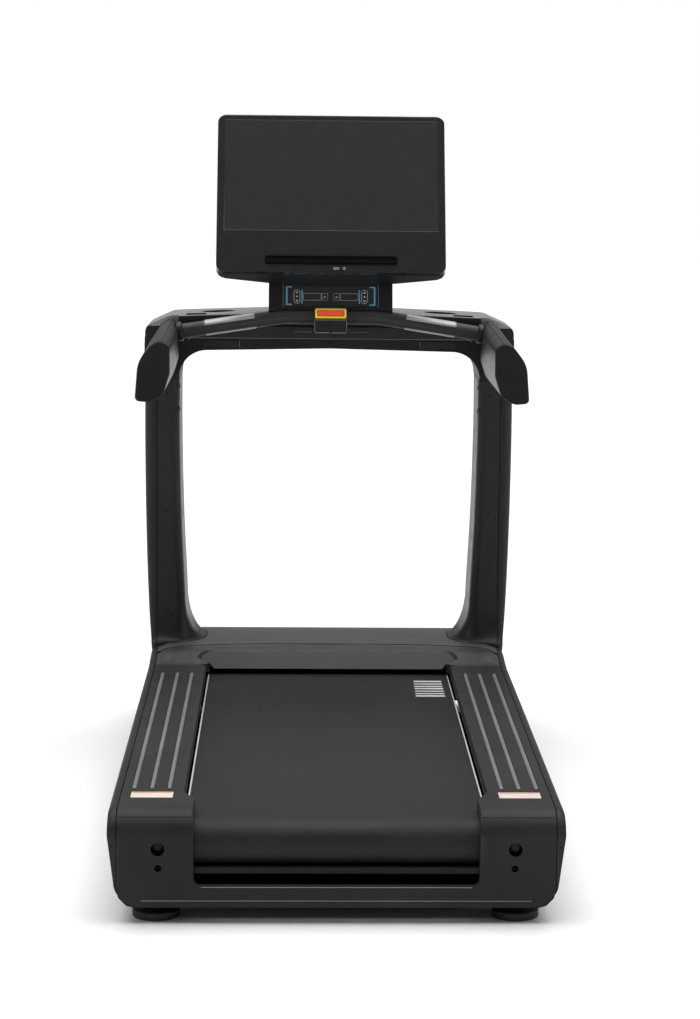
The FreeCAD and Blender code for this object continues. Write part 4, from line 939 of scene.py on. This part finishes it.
# ---- screws ----
def screw(centre, outward, radius):
    """A low domed screw with a six-sided socket, lying on the face that outward points from."""
    profile = [(0.0, -0.9), (0.50, -0.9), (0.52, 0.35), (0.60, 0.75), (0.80, 0.62), (0.95, 0.25), (1.0, -0.1),
               (1.0, -0.6)]
    turn = Vector((0, 0, 1)).rotation_difference(Vector(outward)).to_matrix()
    rows = []
    for share, height in profile:
        row = []
        for k in range(24):
            angle = math.tau * k / 24
            reach = radius * share
            if 0.4 < share < 0.55:
                reach *= math.cos(math.pi / 6) / math.cos((angle % (math.pi / 3)) - math.pi / 6)
            local = Vector((reach * math.cos(angle), reach * math.sin(angle), height))
            row.append(Vector(centre) + turn @ local)
        rows.append(row)
    return rows


def make_screws():
    places = []
    for x, z in ((412, 884), (413, 585), (405, 320)):
        rear = upright_section(z)[2]
        places.append(((x, rear - 0.3, z), (0, -1, 0), 4.6))
    for z in (905, 846):
        places.append(((382.1, 652.7, z), (-0.906, -0.423, 0), 8.0))
    places += [((180, -1074.1, 56), (0, -1, 0), 4.3), ((439.6, -1074.1, 154), (0, -1, 0), 4.3),
               ((428.6, -1074.1, 66), (0, -1, 0), 4.3)]
    for x in (0, 118):
        places.append(((x, 599.8, 1018), (0, -1, 0), 5.0))
    points, faces = [], []
    for centre, outward, radius in places:
        for sign in (-1, 1):
            if centre[0] == 0 and sign > 0:
                continue
            rows = screw(*flipped([[centre, outward]], sign)[0], radius)
            shift = len(points)
            points += [p for row in rows for p in row]
            faces += [tuple(i + shift for i in f) for f in grid_faces(len(rows), 24, wrap_columns=True)]
    piece_from("cover_screws_socket_head", points, faces, SCREW_BLACK, smooth=30,
               replaces=("cover_screws",), slot="frame_steel")


# ---- arms ----
def arm_outline(rise, inset):
    """Arm's section, its top lifted by rise and its whole edge drawn in by inset."""
    top = 1066 + rise - inset
    corners = [(ARM_INNER - 1 + inset, top, 25 - 1.5 * inset), (418, top - 5, 46 - 1.5 * inset),
               (454 - inset, 1014 + rise / 2, 72.0), (461 - inset, 923 + inset, 11.0),
               (426, 920 + inset, 28.0), (394 + inset, 939 + inset, 30.0),
               (ARM_INNER - 1 + inset, 988 + inset, 36.0)]
    return rounded(corners, 8)


def arm_row(y, inset):
    """Arm's section at y, rising from the end pad to the shoulder."""
    rise = 17.0 * (y - ARM_END) / (SHOULDER_REAR - ARM_END)
    return [(p.x, y, p.y) for p in arm_outline(max(0.0, rise), inset)]


def make_arms():
    cover_rows = [arm_row(62.7, 1.4), arm_row(62.9, 0.4), arm_row(63.7, 0.0)]
    cover_rows += [arm_row(y, 0.0) for y in between(80, 599, 26)]
    pad_rows = [arm_row(y, inset) for y, inset in ((61.9, 1.2), (61.4, 0.3), (60.6, 0.0), (56.5, 0.0),
                                                   (53.6, 0.6), (51.8, 1.9), (50.6, 3.9), (50.0, 6.6))]
    for side, sign in SIDES:
        lofted("arm_cover_" + side, flipped(cover_rows, sign), UPPER, closed=True, smooth=35,
               replaces=once(sign, "arm_covers"), slot="upper_covers")
        lofted("arm_end_pad_" + side, flipped(pad_rows, sign), PAD, closed=True, caps=(True, True), smooth=35,
               replaces=once(sign, "arm_end_pads"), slot="upper_covers")


# ---- handlebar and pulse plates ----
def make_handlebar():
    path = rail_curve(BAR_POINTS, 160.0, 14)
    dense = []
    for a, b in zip(path, path[1:]):
        steps = max(1, int((b - a).length / 12))
        dense += [a.lerp(b, k / steps) for k in range(steps)]
    dense.append(path[-1])
    rows = ring_rows(dense, lambda t, angle: BAR_RADIUS, 40)
    lofted("handlebar_grip", rows, GRIP, closed=True, caps=(True, True), smooth=60,
           replaces=("handlebar",), slot="upper_covers")
    for side, sign in SIDES:
        end = Vector((sign * 380, 518, 1053))
        way = (Vector((sign * 118, 505, 1094)) - end).normalized()
        side_way = way.cross(Vector((0, 0, 1))).normalized()
        top_way = side_way.cross(way).normalized()
        rows = []
        for along, radius in ((0, 23.5), (1.5, 24.5), (9, 24.5), (12, 23.6), (13.6, 21.6), (14.2, 18.6)):
            ring = circle(0.0, 0.0, radius, 40)
            rows.append([end + way * along + top_way * p.x + side_way * p.y for p in ring])
        lofted("handlebar_collar_" + side, rows, UPPER, closed=True, smooth=35, slot="upper_covers")


def make_pulse_plates():
    """A smooth plate over and a ridged plate under each sloping half of the bar."""
    for side, sign in SIDES:
        start = Vector((sign * 118, 505, 1094))
        end = Vector((sign * 380, 518, 1053))
        path = [start.lerp(end, share) for share in between(0.26, 0.74, 60)]
        for name, middle, half, ridges in (("upper", 0.0, math.radians(68), 0.0),
                                           ("lower", math.pi, math.radians(40), 1.0)):

            def reach(t, angle, half=half, middle=middle, ridges=ridges):
                off = abs((angle - middle + math.pi) % math.tau - math.pi)
                edge = min(1.0, (half - off) / math.radians(5)) if off < half else 0.0
                ends = min(1.0, min(t, 1 - t) / 0.02)
                rise = 1.4 * math.sqrt(max(0.0, min(edge, ends)))
                ripple = 0.5 - 0.5 * math.cos(t * math.tau * PULSE_RIDGES)
                return BAR_RADIUS + 0.15 + rise - ridges * ripple * min(edge, ends)
            rows = ring_rows(path, reach, 28, middle - half, 2 * half)
            lofted("pulse_plate_%s_%s" % (name, side), rows, PULSE, smooth=50,
                   replaces=once(sign, "pulse_plates") if name == "upper" else (), slot="pulse")


# ---- leaning faces: stop button, key panel, display ----
def leaning(foot, lean):
    """place(a, b, lift): a across, b up the leaning face, lift out of it towards the walker."""
    def place(a, b, lift=0.0):
        return (a, foot[0] + b * math.sin(lean) - lift * math.cos(lean),
                foot[1] + b * math.cos(lean) + lift * math.sin(lean))
    return place


ON_STOP = leaning(STOP_FOOT, STOP_LEAN)
ON_KEYS = leaning(NECK_FOOT, NECK_LEAN)
ON_SCREEN = leaning(SCREEN_FOOT, SCREEN_TILT)


def raised(place, outline_at, levels):
    """Rows of points for outlines shrunk by inset at each (lift, inset) level over a leaning face."""
    return [[place(p.x, p.y, lift) for p in outline_at(inset)] for lift, inset in levels]


def slab(name, place, outline_at, levels, material, **options):
    """A raised slab, capped top and bottom."""
    rows = raised(place, outline_at, levels)
    return lofted(name, rows, material, closed=True, caps=(True, True), smooth=35, **options)


def framed(name, place, outer, inner, lift, thickness, material, bevel=0.5, **options):
    """A flat frame: an outline with a hole, lying on a leaning face."""
    return plate(name, [outer, inner], lambda a, b: place(a, b, lift), material, thickness, bevel, **options)


def make_stop_button():
    def bezel_outline(inset):
        return rectangle(-38.5 + inset, 38.5 - inset, 7 + inset, 36 - inset, 4.5 - inset * 0.5)

    def hole(grow):
        return rectangle(-33.6 - grow, 33.6 + grow, 11.5 - grow, 31.5 + grow, 3.0 + grow * 0.5)

    rows = raised(ON_STOP, bezel_outline, [(0.0, 0.0), (2.0, 0.0), (2.8, 0.5), (3.0, 1.4)])
    rows += raised(ON_STOP, hole, [(3.0, 1.0), (2.6, 0.2), (0.0, 0.0)])
    lofted("stop_bezel_frame", rows, STOP_YELLOW, closed=True, smooth=35, replaces=("estop_bezel",),
           slot="stop_yellow")

    def cap_outline(inset):
        return rectangle(-32.8 + inset, 32.8 - inset, 12.3 + inset, 30.7 - inset, max(0.6, 2.6 - inset * 0.4))
    levels = [(-0.8, 0.0), (3.6, 0.0), (4.6, 0.5), (5.2, 1.4), (5.4, 2.8), (5.1, 5.0), (5.0, 7.5)]
    slab("stop_button_cap", ON_STOP, cap_outline, levels, STOP_RED, body="stop_button",
         replaces=("estop_button",), slot="stop_red")
    # Painted highlights: light lines along the front edges of the stop button's housing.
    for side, sign in SIDES:
        def front(x, z):
            return (sign * x, 452 + (1088 - z) * 10 / 32 - 0.2, z)
        line = [front(39.4, 1086), front(39.4, 1062), front(37.5, 1059), front(34, 1058), front(4, 1058)]
        cord_line("stop_housing_highlight_line_" + side, line, 0.65, RIB)


def capsule(middle_a, middle_b, half_a, half_b):
    """Outline with fully rounded ends."""
    return rectangle(middle_a - half_a, middle_a + half_a, middle_b - half_b, middle_b + half_b, half_a - 0.1)


def printed(name, loops, material, lift=2.25, slot="keys", **options):
    """A thin printed mark on the key panel, from an outline and its holes."""
    return plate(name, loops, lambda a, b: ON_KEYS(a, b, lift), material, 0.3, 0.0, slot=slot, **options)


def make_readout(side, sign):
    """Smoked window and icon box on one half of the key panel."""
    low, high = sorted((sign * 24.0, sign * 67.5))
    framed("readout_frame_" + side, ON_KEYS, rectangle(low - 1.2, high + 1.2, 22, 41, 2.0),
           rectangle(low + 0.4, high - 0.4, 23.4, 39.6, 1.5), 2.35, 0.45, PRINT_GREY, 0.0, slot="keys")
    printed("readout_window_" + side, [rectangle(low + 0.5, high - 0.5, 23.5, 39.5, 1.4)], WINDOW, 2.3,
            replaces=once(sign, "readout_windows"), slot="glass")
    low, high = sorted((sign * 7.0, sign * 22.0))
    framed("icon_frame_" + side, ON_KEYS, rectangle(low, high, 22, 41, 2.0),
           rectangle(low + 1.2, high - 1.2, 23.2, 39.8, 1.4), 2.35, 0.35, PRINT_GREY, 0.0, slot="keys")
    mark = [(-3.5, 28), (3.5, 28), (3.5, 29.6), (1.2, 34), (-1.2, 34), (-3.5, 29.6)]
    printed("icon_mark_" + side, [[Vector((sign * 14.5 + a, b)) for a, b in mark]], PRINT_GREY)


def make_key_panel():
    def panel_outline(inset):
        return rectangle(-117 + inset, 117 - inset, 7 + inset, 74 - inset, 5.0)
    slab("key_panel_film", ON_KEYS, panel_outline, [(0.0, 0.0), (1.5, 0.0), (1.9, 0.3), (2.0, 0.9)], GLOSS,
         replaces=("key_panel",), slot="keys")
    bracket = [(97, 10), (111, 10), (111, 58), (97, 58), (97, 54.8), (107.2, 54.8), (107.2, 13.2), (97, 13.2)]
    for side, sign in SIDES:
        printed("key_bracket_" + side, [[Vector((sign * a, b)) for a, b in bracket]], PRINT_BLUE)
        low, high = sorted((sign * 69.8, sign * 73.2))
        printed("key_light_bar_" + side, [rectangle(low, high, 14, 49, 0.8)], PRINT_BLUE)
        make_readout(side, sign)
        # Painted highlights: light lines along the key panel's sides.
        edge = [ON_KEYS(sign * 118.6, b, 0.4) for b in (6, 64)]
        cord_line("key_panel_edge_highlight_" + side, edge, 0.6, RIB)
        make_rocker(side, sign)
    # Painted highlight: a light line along the neck's top edge.
    cord_line("neck_top_highlight_line", [ON_KEYS(-150, 76, 0.3), ON_KEYS(150, 76, 0.3)], 0.6, RIB)


def make_rocker(side, sign):
    """Upright rocking key with an up arrow, a down arrow and a dot between them."""
    middle = sign * 84.0
    on_cap = {"material": PRINT_WHITE, "lift": 6.75, "body": "key_" + side}

    def cap_outline(inset):
        return capsule(middle, KEY_MIDDLE, 8.4 - inset, 18.4 - inset)
    levels = [(4.1, 0.0), (5.6, 0.0), (6.2, 0.25), (6.5, 0.9), (6.35, 2.4)]
    slab("rocker_cap_" + side, ON_KEYS, cap_outline, levels, GLOSS, body="key_" + side,
         replaces=("rocker_key_" + side,), slot="keys")
    ring = [capsule(middle, KEY_MIDDLE, 7.9, 17.9), capsule(middle, KEY_MIDDLE, 6.9, 16.9)]
    printed("rocker_outline_" + side, ring, **on_cap)
    for name, foot, tip in (("up", 40.0, 44.5), ("down", 22.0, 17.5)):
        arrow = [Vector((middle - 3.6, foot)), Vector((middle + 3.6, foot)), Vector((middle, tip))]
        printed("rocker_arrow_%s_%s" % (name, side), [arrow], **on_cap)
    printed("rocker_dot_" + side, [circle(middle, KEY_MIDDLE, 2.2, 20)], **on_cap)


def make_display():
    def housing(inset):
        return rectangle(-284 + inset, 284 - inset, -112 + inset, 313.4 - inset, 20.0 - inset * 0.6)

    def opening(inset):
        return rectangle(-265.7 + inset, 265.7 - inset, inset, 298.9 - inset, 1.0)

    front = [(-12.0, 0.6), (-11.2, 0.0), (-2.6, 0.0), (-1.0, 0.5), (-0.2, 1.4), (0.0, 2.6), (0.0, 3.4)]
    rows = raised(ON_SCREEN, housing, front)
    rows += raised(ON_SCREEN, opening, [(0.0, -1.4), (0.0, -0.4), (-1.2, 0.9)])
    lofted("display_bezel_frame", rows, GLOSS, closed=True, smooth=30, replaces=("display_bezel",),
           slot="gloss_black")
    shell = [(-12.9, 0.9), (-13.4, 0.2), (-14.5, 0.0), (-38.0, 0.0), (-44.0, 1.6), (-48.0, 5.5),
             (-50.0, 11.0)]
    slab("display_back_cover", ON_SCREEN, housing, shell, UPPER, replaces=("display_back_shell",),
         slot="upper_covers")
    rows = []
    for lift, half, low, high in ((-38.0, 278, -111.5, 232), (-44.0, 272, -112, 228), (-66.0, 180, -113, 176),
                                  (-68.6, 170, -113, 170), (-69.6, 164, -112, 167), (-70.0, 156, -108, 160)):
        rows.append([ON_SCREEN(p.x, p.y, lift) for p in rectangle(-half, half, low, high, 12.0)])
    lofted("display_mount_hump", rows, UPPER, closed=True, caps=(True, True), smooth=35, slot="upper_covers")
    outlines = []
    for index in range(5):
        low = 246 + index * 9.0
        outlines += [rectangle(left, left + 120, low, low + 3.4, 1.6) for left in (-200.0, 80.0)]
    points, faces = gathered(outlines, lambda a, b: ON_SCREEN(a, b, -50.25))
    slots = piece_from("display_vent_slots", points, faces, RUBBER, slot="rubber")
    thicken(slots, 0.4, 1.0)

    def ledge(inset):
        return rectangle(-164 + inset, 164 - inset, -88 + inset, -70 - inset, 6.0)
    slab("reading_ledge_shelf", ON_SCREEN, ledge,
         [(0.0, 0.0), (8.4, 0.0), (9.6, 0.5), (10.0, 1.6), (9.2, 2.6), (5.5, 3.2)], LEDGE,
         replaces=("reading_ledge",), slot="gloss_black")
    socket = rectangle(5.6, 19.4, -103.7, -98.3, 0.6)
    framed("socket_frame", ON_SCREEN, rectangle(2, 40, -106, -96, 2.5), socket, 0.9, 0.8, GLOSS, 0.2,
           replaces=("socket_plate",), slot="gloss_black")
    framed("usb_socket_rim", ON_SCREEN, socket, rectangle(7.0, 18.0, -102.4, -99.9, 0.3), 1.1, 0.6,
           STEEL_BRIGHT, 0.0, slot="bright_steel")
    plate("jack_socket_rim", [circle(32, -101, 3.2, 24), circle(32, -101, 1.7, 24)],
          lambda a, b: ON_SCREEN(a, b, 1.2), STEEL_BRIGHT, 0.5, 0.0, slot="bright_steel")


# ---- console trim ----
def make_console_trim():
    """Covers on the cross beam and the shell's corners, slots under the console, and light beads there that
    are painted highlights along edges.
    """
    bead = [(340, 559.5, 1035.6), (350, 559.5, 1034.6), (357, 559.5, 1031.0)]
    for side, sign in SIDES:
        low, high = sorted((sign * 232.0, sign * 318.0))
        plate("beam_cover_" + side, [rectangle(low, high, 1010, 1027, 6.0)], facing_rear(599.2), RUBBER, 1.2,
              0.4, slot="upper_covers")
        low, high = sorted((sign * 350.0, sign * 466.5))
        plate("console_corner_cap_" + side, [rectangle(low, high, 700, 837.5, 2.0)], level(1034.6), COVER,
              2.0, 0.4, slot="covers")
    for name, low, high in (("left", -95, -43), ("right", 43, 97)):
        plate("console_slot_" + name, [rectangle(low, high, 1053, 1064, 4.0)], facing_rear(559.4), RUBBER,
              1.0, 0.4, slot="rubber")
        # Painted highlight: a light line along each slot's lower edge.
        lip = [(low + 3, 559.2, 1052.6), (high - 3, 559.2, 1052.6)]
        cord_line("console_slot_highlight_lip_" + name, lip, 0.5, RIB)
    # Painted highlight: a light line along the body's lower rear edge.
    cord_line("console_split_highlight_line", flipped([bead[::-1]], -1)[0] + bead, 0.7, RIB)
    for side, sign in SIDES:
        # Painted highlight: a light upright line beside each beam cover.
        lip = [(sign * 228.5, 598.8, 1010), (sign * 228.5, 598.8, 1026)]
        cord_line("beam_cover_highlight_lip_" + side, lip, 0.7, RIB, up=Vector((0, 1, 0)))


# ---- carried-over nodes ----
CARRIED = {
    STEEL_BLACK: "frame_side_rails frame_crossmembers frame_lugs roller_brackets upright_tubes "
                 "crossbeam_tube lift_frame frame_bolts",
    STEEL_BRIGHT: "lift_push_tube",
    ALLOY: "front_drive_roller rear_roller motor_rotor",
    IRON: "rear_axle driven_pulley motor_flywheel motor_housing lift_actuator roller_bearings",
    DECK: "deck_board",
    RUBBER: "deck_cushions drive_belt lift_wheel_left lift_wheel_right rear_foot_left rear_foot_right "
            "power_switch",
    COVER: "power_inlet control_electronics belly_pan console_lower_shell",
    UPPER: "console_body console_neck console_trays estop_housing",
    SILVER: "console_top_cover",
    PICTURE: "display_panel",
}
EDGE_WIDTH = {"console_lower_shell": 2.0, "console_body": 2.5, "console_neck": 3.0, "console_top_cover": 1.6,
              "estop_housing": 1.4, "console_trays": 0.8}


def dress_carried_nodes():
    for material, names in CARRIED.items():
        for name in names.split():
            node = NODES[name]
            mesh = node.data
            if "custom_normal" in mesh.attributes:
                mesh.attributes.remove(mesh.attributes["custom_normal"])
            mesh.materials.clear()
            mesh.materials.append(material)
            mesh.shade_smooth()
            mesh.set_sharp_from_angle(angle=math.radians(30))
            weld = node.modifiers.new("weld", "WELD")
            weld.merge_threshold = 1e-5
            flatten = node.modifiers.new("flatten", "DECIMATE")
            flatten.decimate_type = "DISSOLVE"
            flatten.angle_limit = math.radians(1.0)
            soften(node, EDGE_WIDTH.get(name, 0.6), 3)
            SHAPED.append(node)


# ---- studio ----
FILL_LEVEL = 0.20
OVERHEAD_POWER = 3.5


def area_light(name, place, target, size, power):
    """White rectangular light at place, turned to face target."""
    data = bpy.data.lights.new(name, "AREA")
    data.shape = "RECTANGLE"
    data.size, data.size_y = size
    data.energy = power
    light = bpy.data.objects.new(name, data)
    bpy.context.scene.collection.objects.link(light)
    light.location = place
    way = Vector(target) - Vector(place)
    light.rotation_mode = "QUATERNION"
    light.rotation_quaternion = way.to_track_quat("-Z", "Y")


def make_studio():
    bpy.ops.mesh.primitive_grid_add(x_subdivisions=8, y_subdivisions=8, size=60.0, location=(0, 0, 0))
    floor = bpy.context.object
    floor.name = "studio_floor"
    floor.data.materials.append(floor_surface())
    world = bpy.data.worlds.new("studio")
    bpy.context.scene.world = world
    world.use_nodes = True
    tree = world.node_tree
    seen = tree.nodes["Background"]
    seen.inputs["Color"].default_value = (1, 1, 1, 1)
    seen.inputs["Strength"].default_value = 1.0
    fill = tree.nodes.new("ShaderNodeBackground")
    fill.inputs["Color"].default_value = (1, 1, 1, 1)
    fill.inputs["Strength"].default_value = FILL_LEVEL
    choose = tree.nodes.new("ShaderNodeMixShader")
    path = tree.nodes.new("ShaderNodeLightPath")
    tree.links.new(path.outputs["Is Camera Ray"], choose.inputs[0])
    tree.links.new(fill.outputs[0], choose.inputs[1])
    tree.links.new(seen.outputs[0], choose.inputs[2])
    tree.links.new(choose.outputs[0], tree.nodes["World Output"].inputs["Surface"])
    data = bpy.data.lights.new("overhead", "SUN")
    data.energy = OVERHEAD_POWER
    data.angle = math.radians(72.0)
    overhead = bpy.data.objects.new("overhead", data)
    bpy.context.scene.collection.objects.link(overhead)
    overhead.rotation_euler = (math.radians(-6.0), 0.0, 0.0)
    area_light("side_left", (-4.0, -0.5, 1.9), (0.0, 0.2, 0.7), (2.2, 2.6), 18.0)
    area_light("side_right", (4.0, -0.2, 1.9), (0.0, 0.2, 0.7), (2.2, 2.6), 26.0)
    area_light("backdrop", (0.0, 7.0, 2.2), (0.0, 0.0, 0.8), (9.0, 4.0), 16.0)
    bpy.context.scene.view_settings.view_transform = "Standard"


CAMERA_PLACE = (-0.0891, -6.2563, 1.5243)
CAMERA_YAW = math.radians(2.051)
CAMERA_PITCH = math.radians(7.557)
CAMERA_ROLL = math.radians(-0.617)
CAMERA_SENSOR = 36.0
CAMERA_LENS = 95.918
CAMERA_SHIFT = (-0.03925, -0.00599)


def make_camera():
    """Camera turned by its yaw, pitch and roll, with a shifted lens."""
    data = bpy.data.cameras.new("camera")
    camera = bpy.data.objects.new("camera", data)
    bpy.context.scene.collection.objects.link(camera)
    forward = Vector((math.sin(CAMERA_YAW) * math.cos(CAMERA_PITCH),
                      math.cos(CAMERA_YAW) * math.cos(CAMERA_PITCH), -math.sin(CAMERA_PITCH)))
    sideways = Vector((math.cos(CAMERA_YAW), -math.sin(CAMERA_YAW), 0.0))
    drop = forward.cross(sideways)
    right = math.cos(CAMERA_ROLL) * sideways + math.sin(CAMERA_ROLL) * drop
    down = -math.sin(CAMERA_ROLL) * sideways + math.cos(CAMERA_ROLL) * drop
    turn = Matrix((right, -down, -forward)).transposed().to_4x4()
    camera.matrix_world = Matrix.Translation(CAMERA_PLACE) @ turn
    data.sensor_width = CAMERA_SENSOR
    data.lens = CAMERA_LENS
    data.shift_x, data.shift_y = CAMERA_SHIFT
    data.clip_end = 200.0
    bpy.context.scene.camera = camera


make_camera()
make_studio()
dress_carried_nodes()
make_belt()
make_belt_marks()
make_foot_rails()
make_tread_ribs()
make_rail_plates()
make_side_covers()
make_rear_end_cover()
make_mouth_lip()
make_rear_highlight_lines()
make_hood_rear_cover()
make_hood_front_cover()
make_uprights()
make_screws()
make_arms()
make_handlebar()
make_pulse_plates()
make_stop_button()
make_key_panel()
make_display()
make_console_trim()
even_normals()
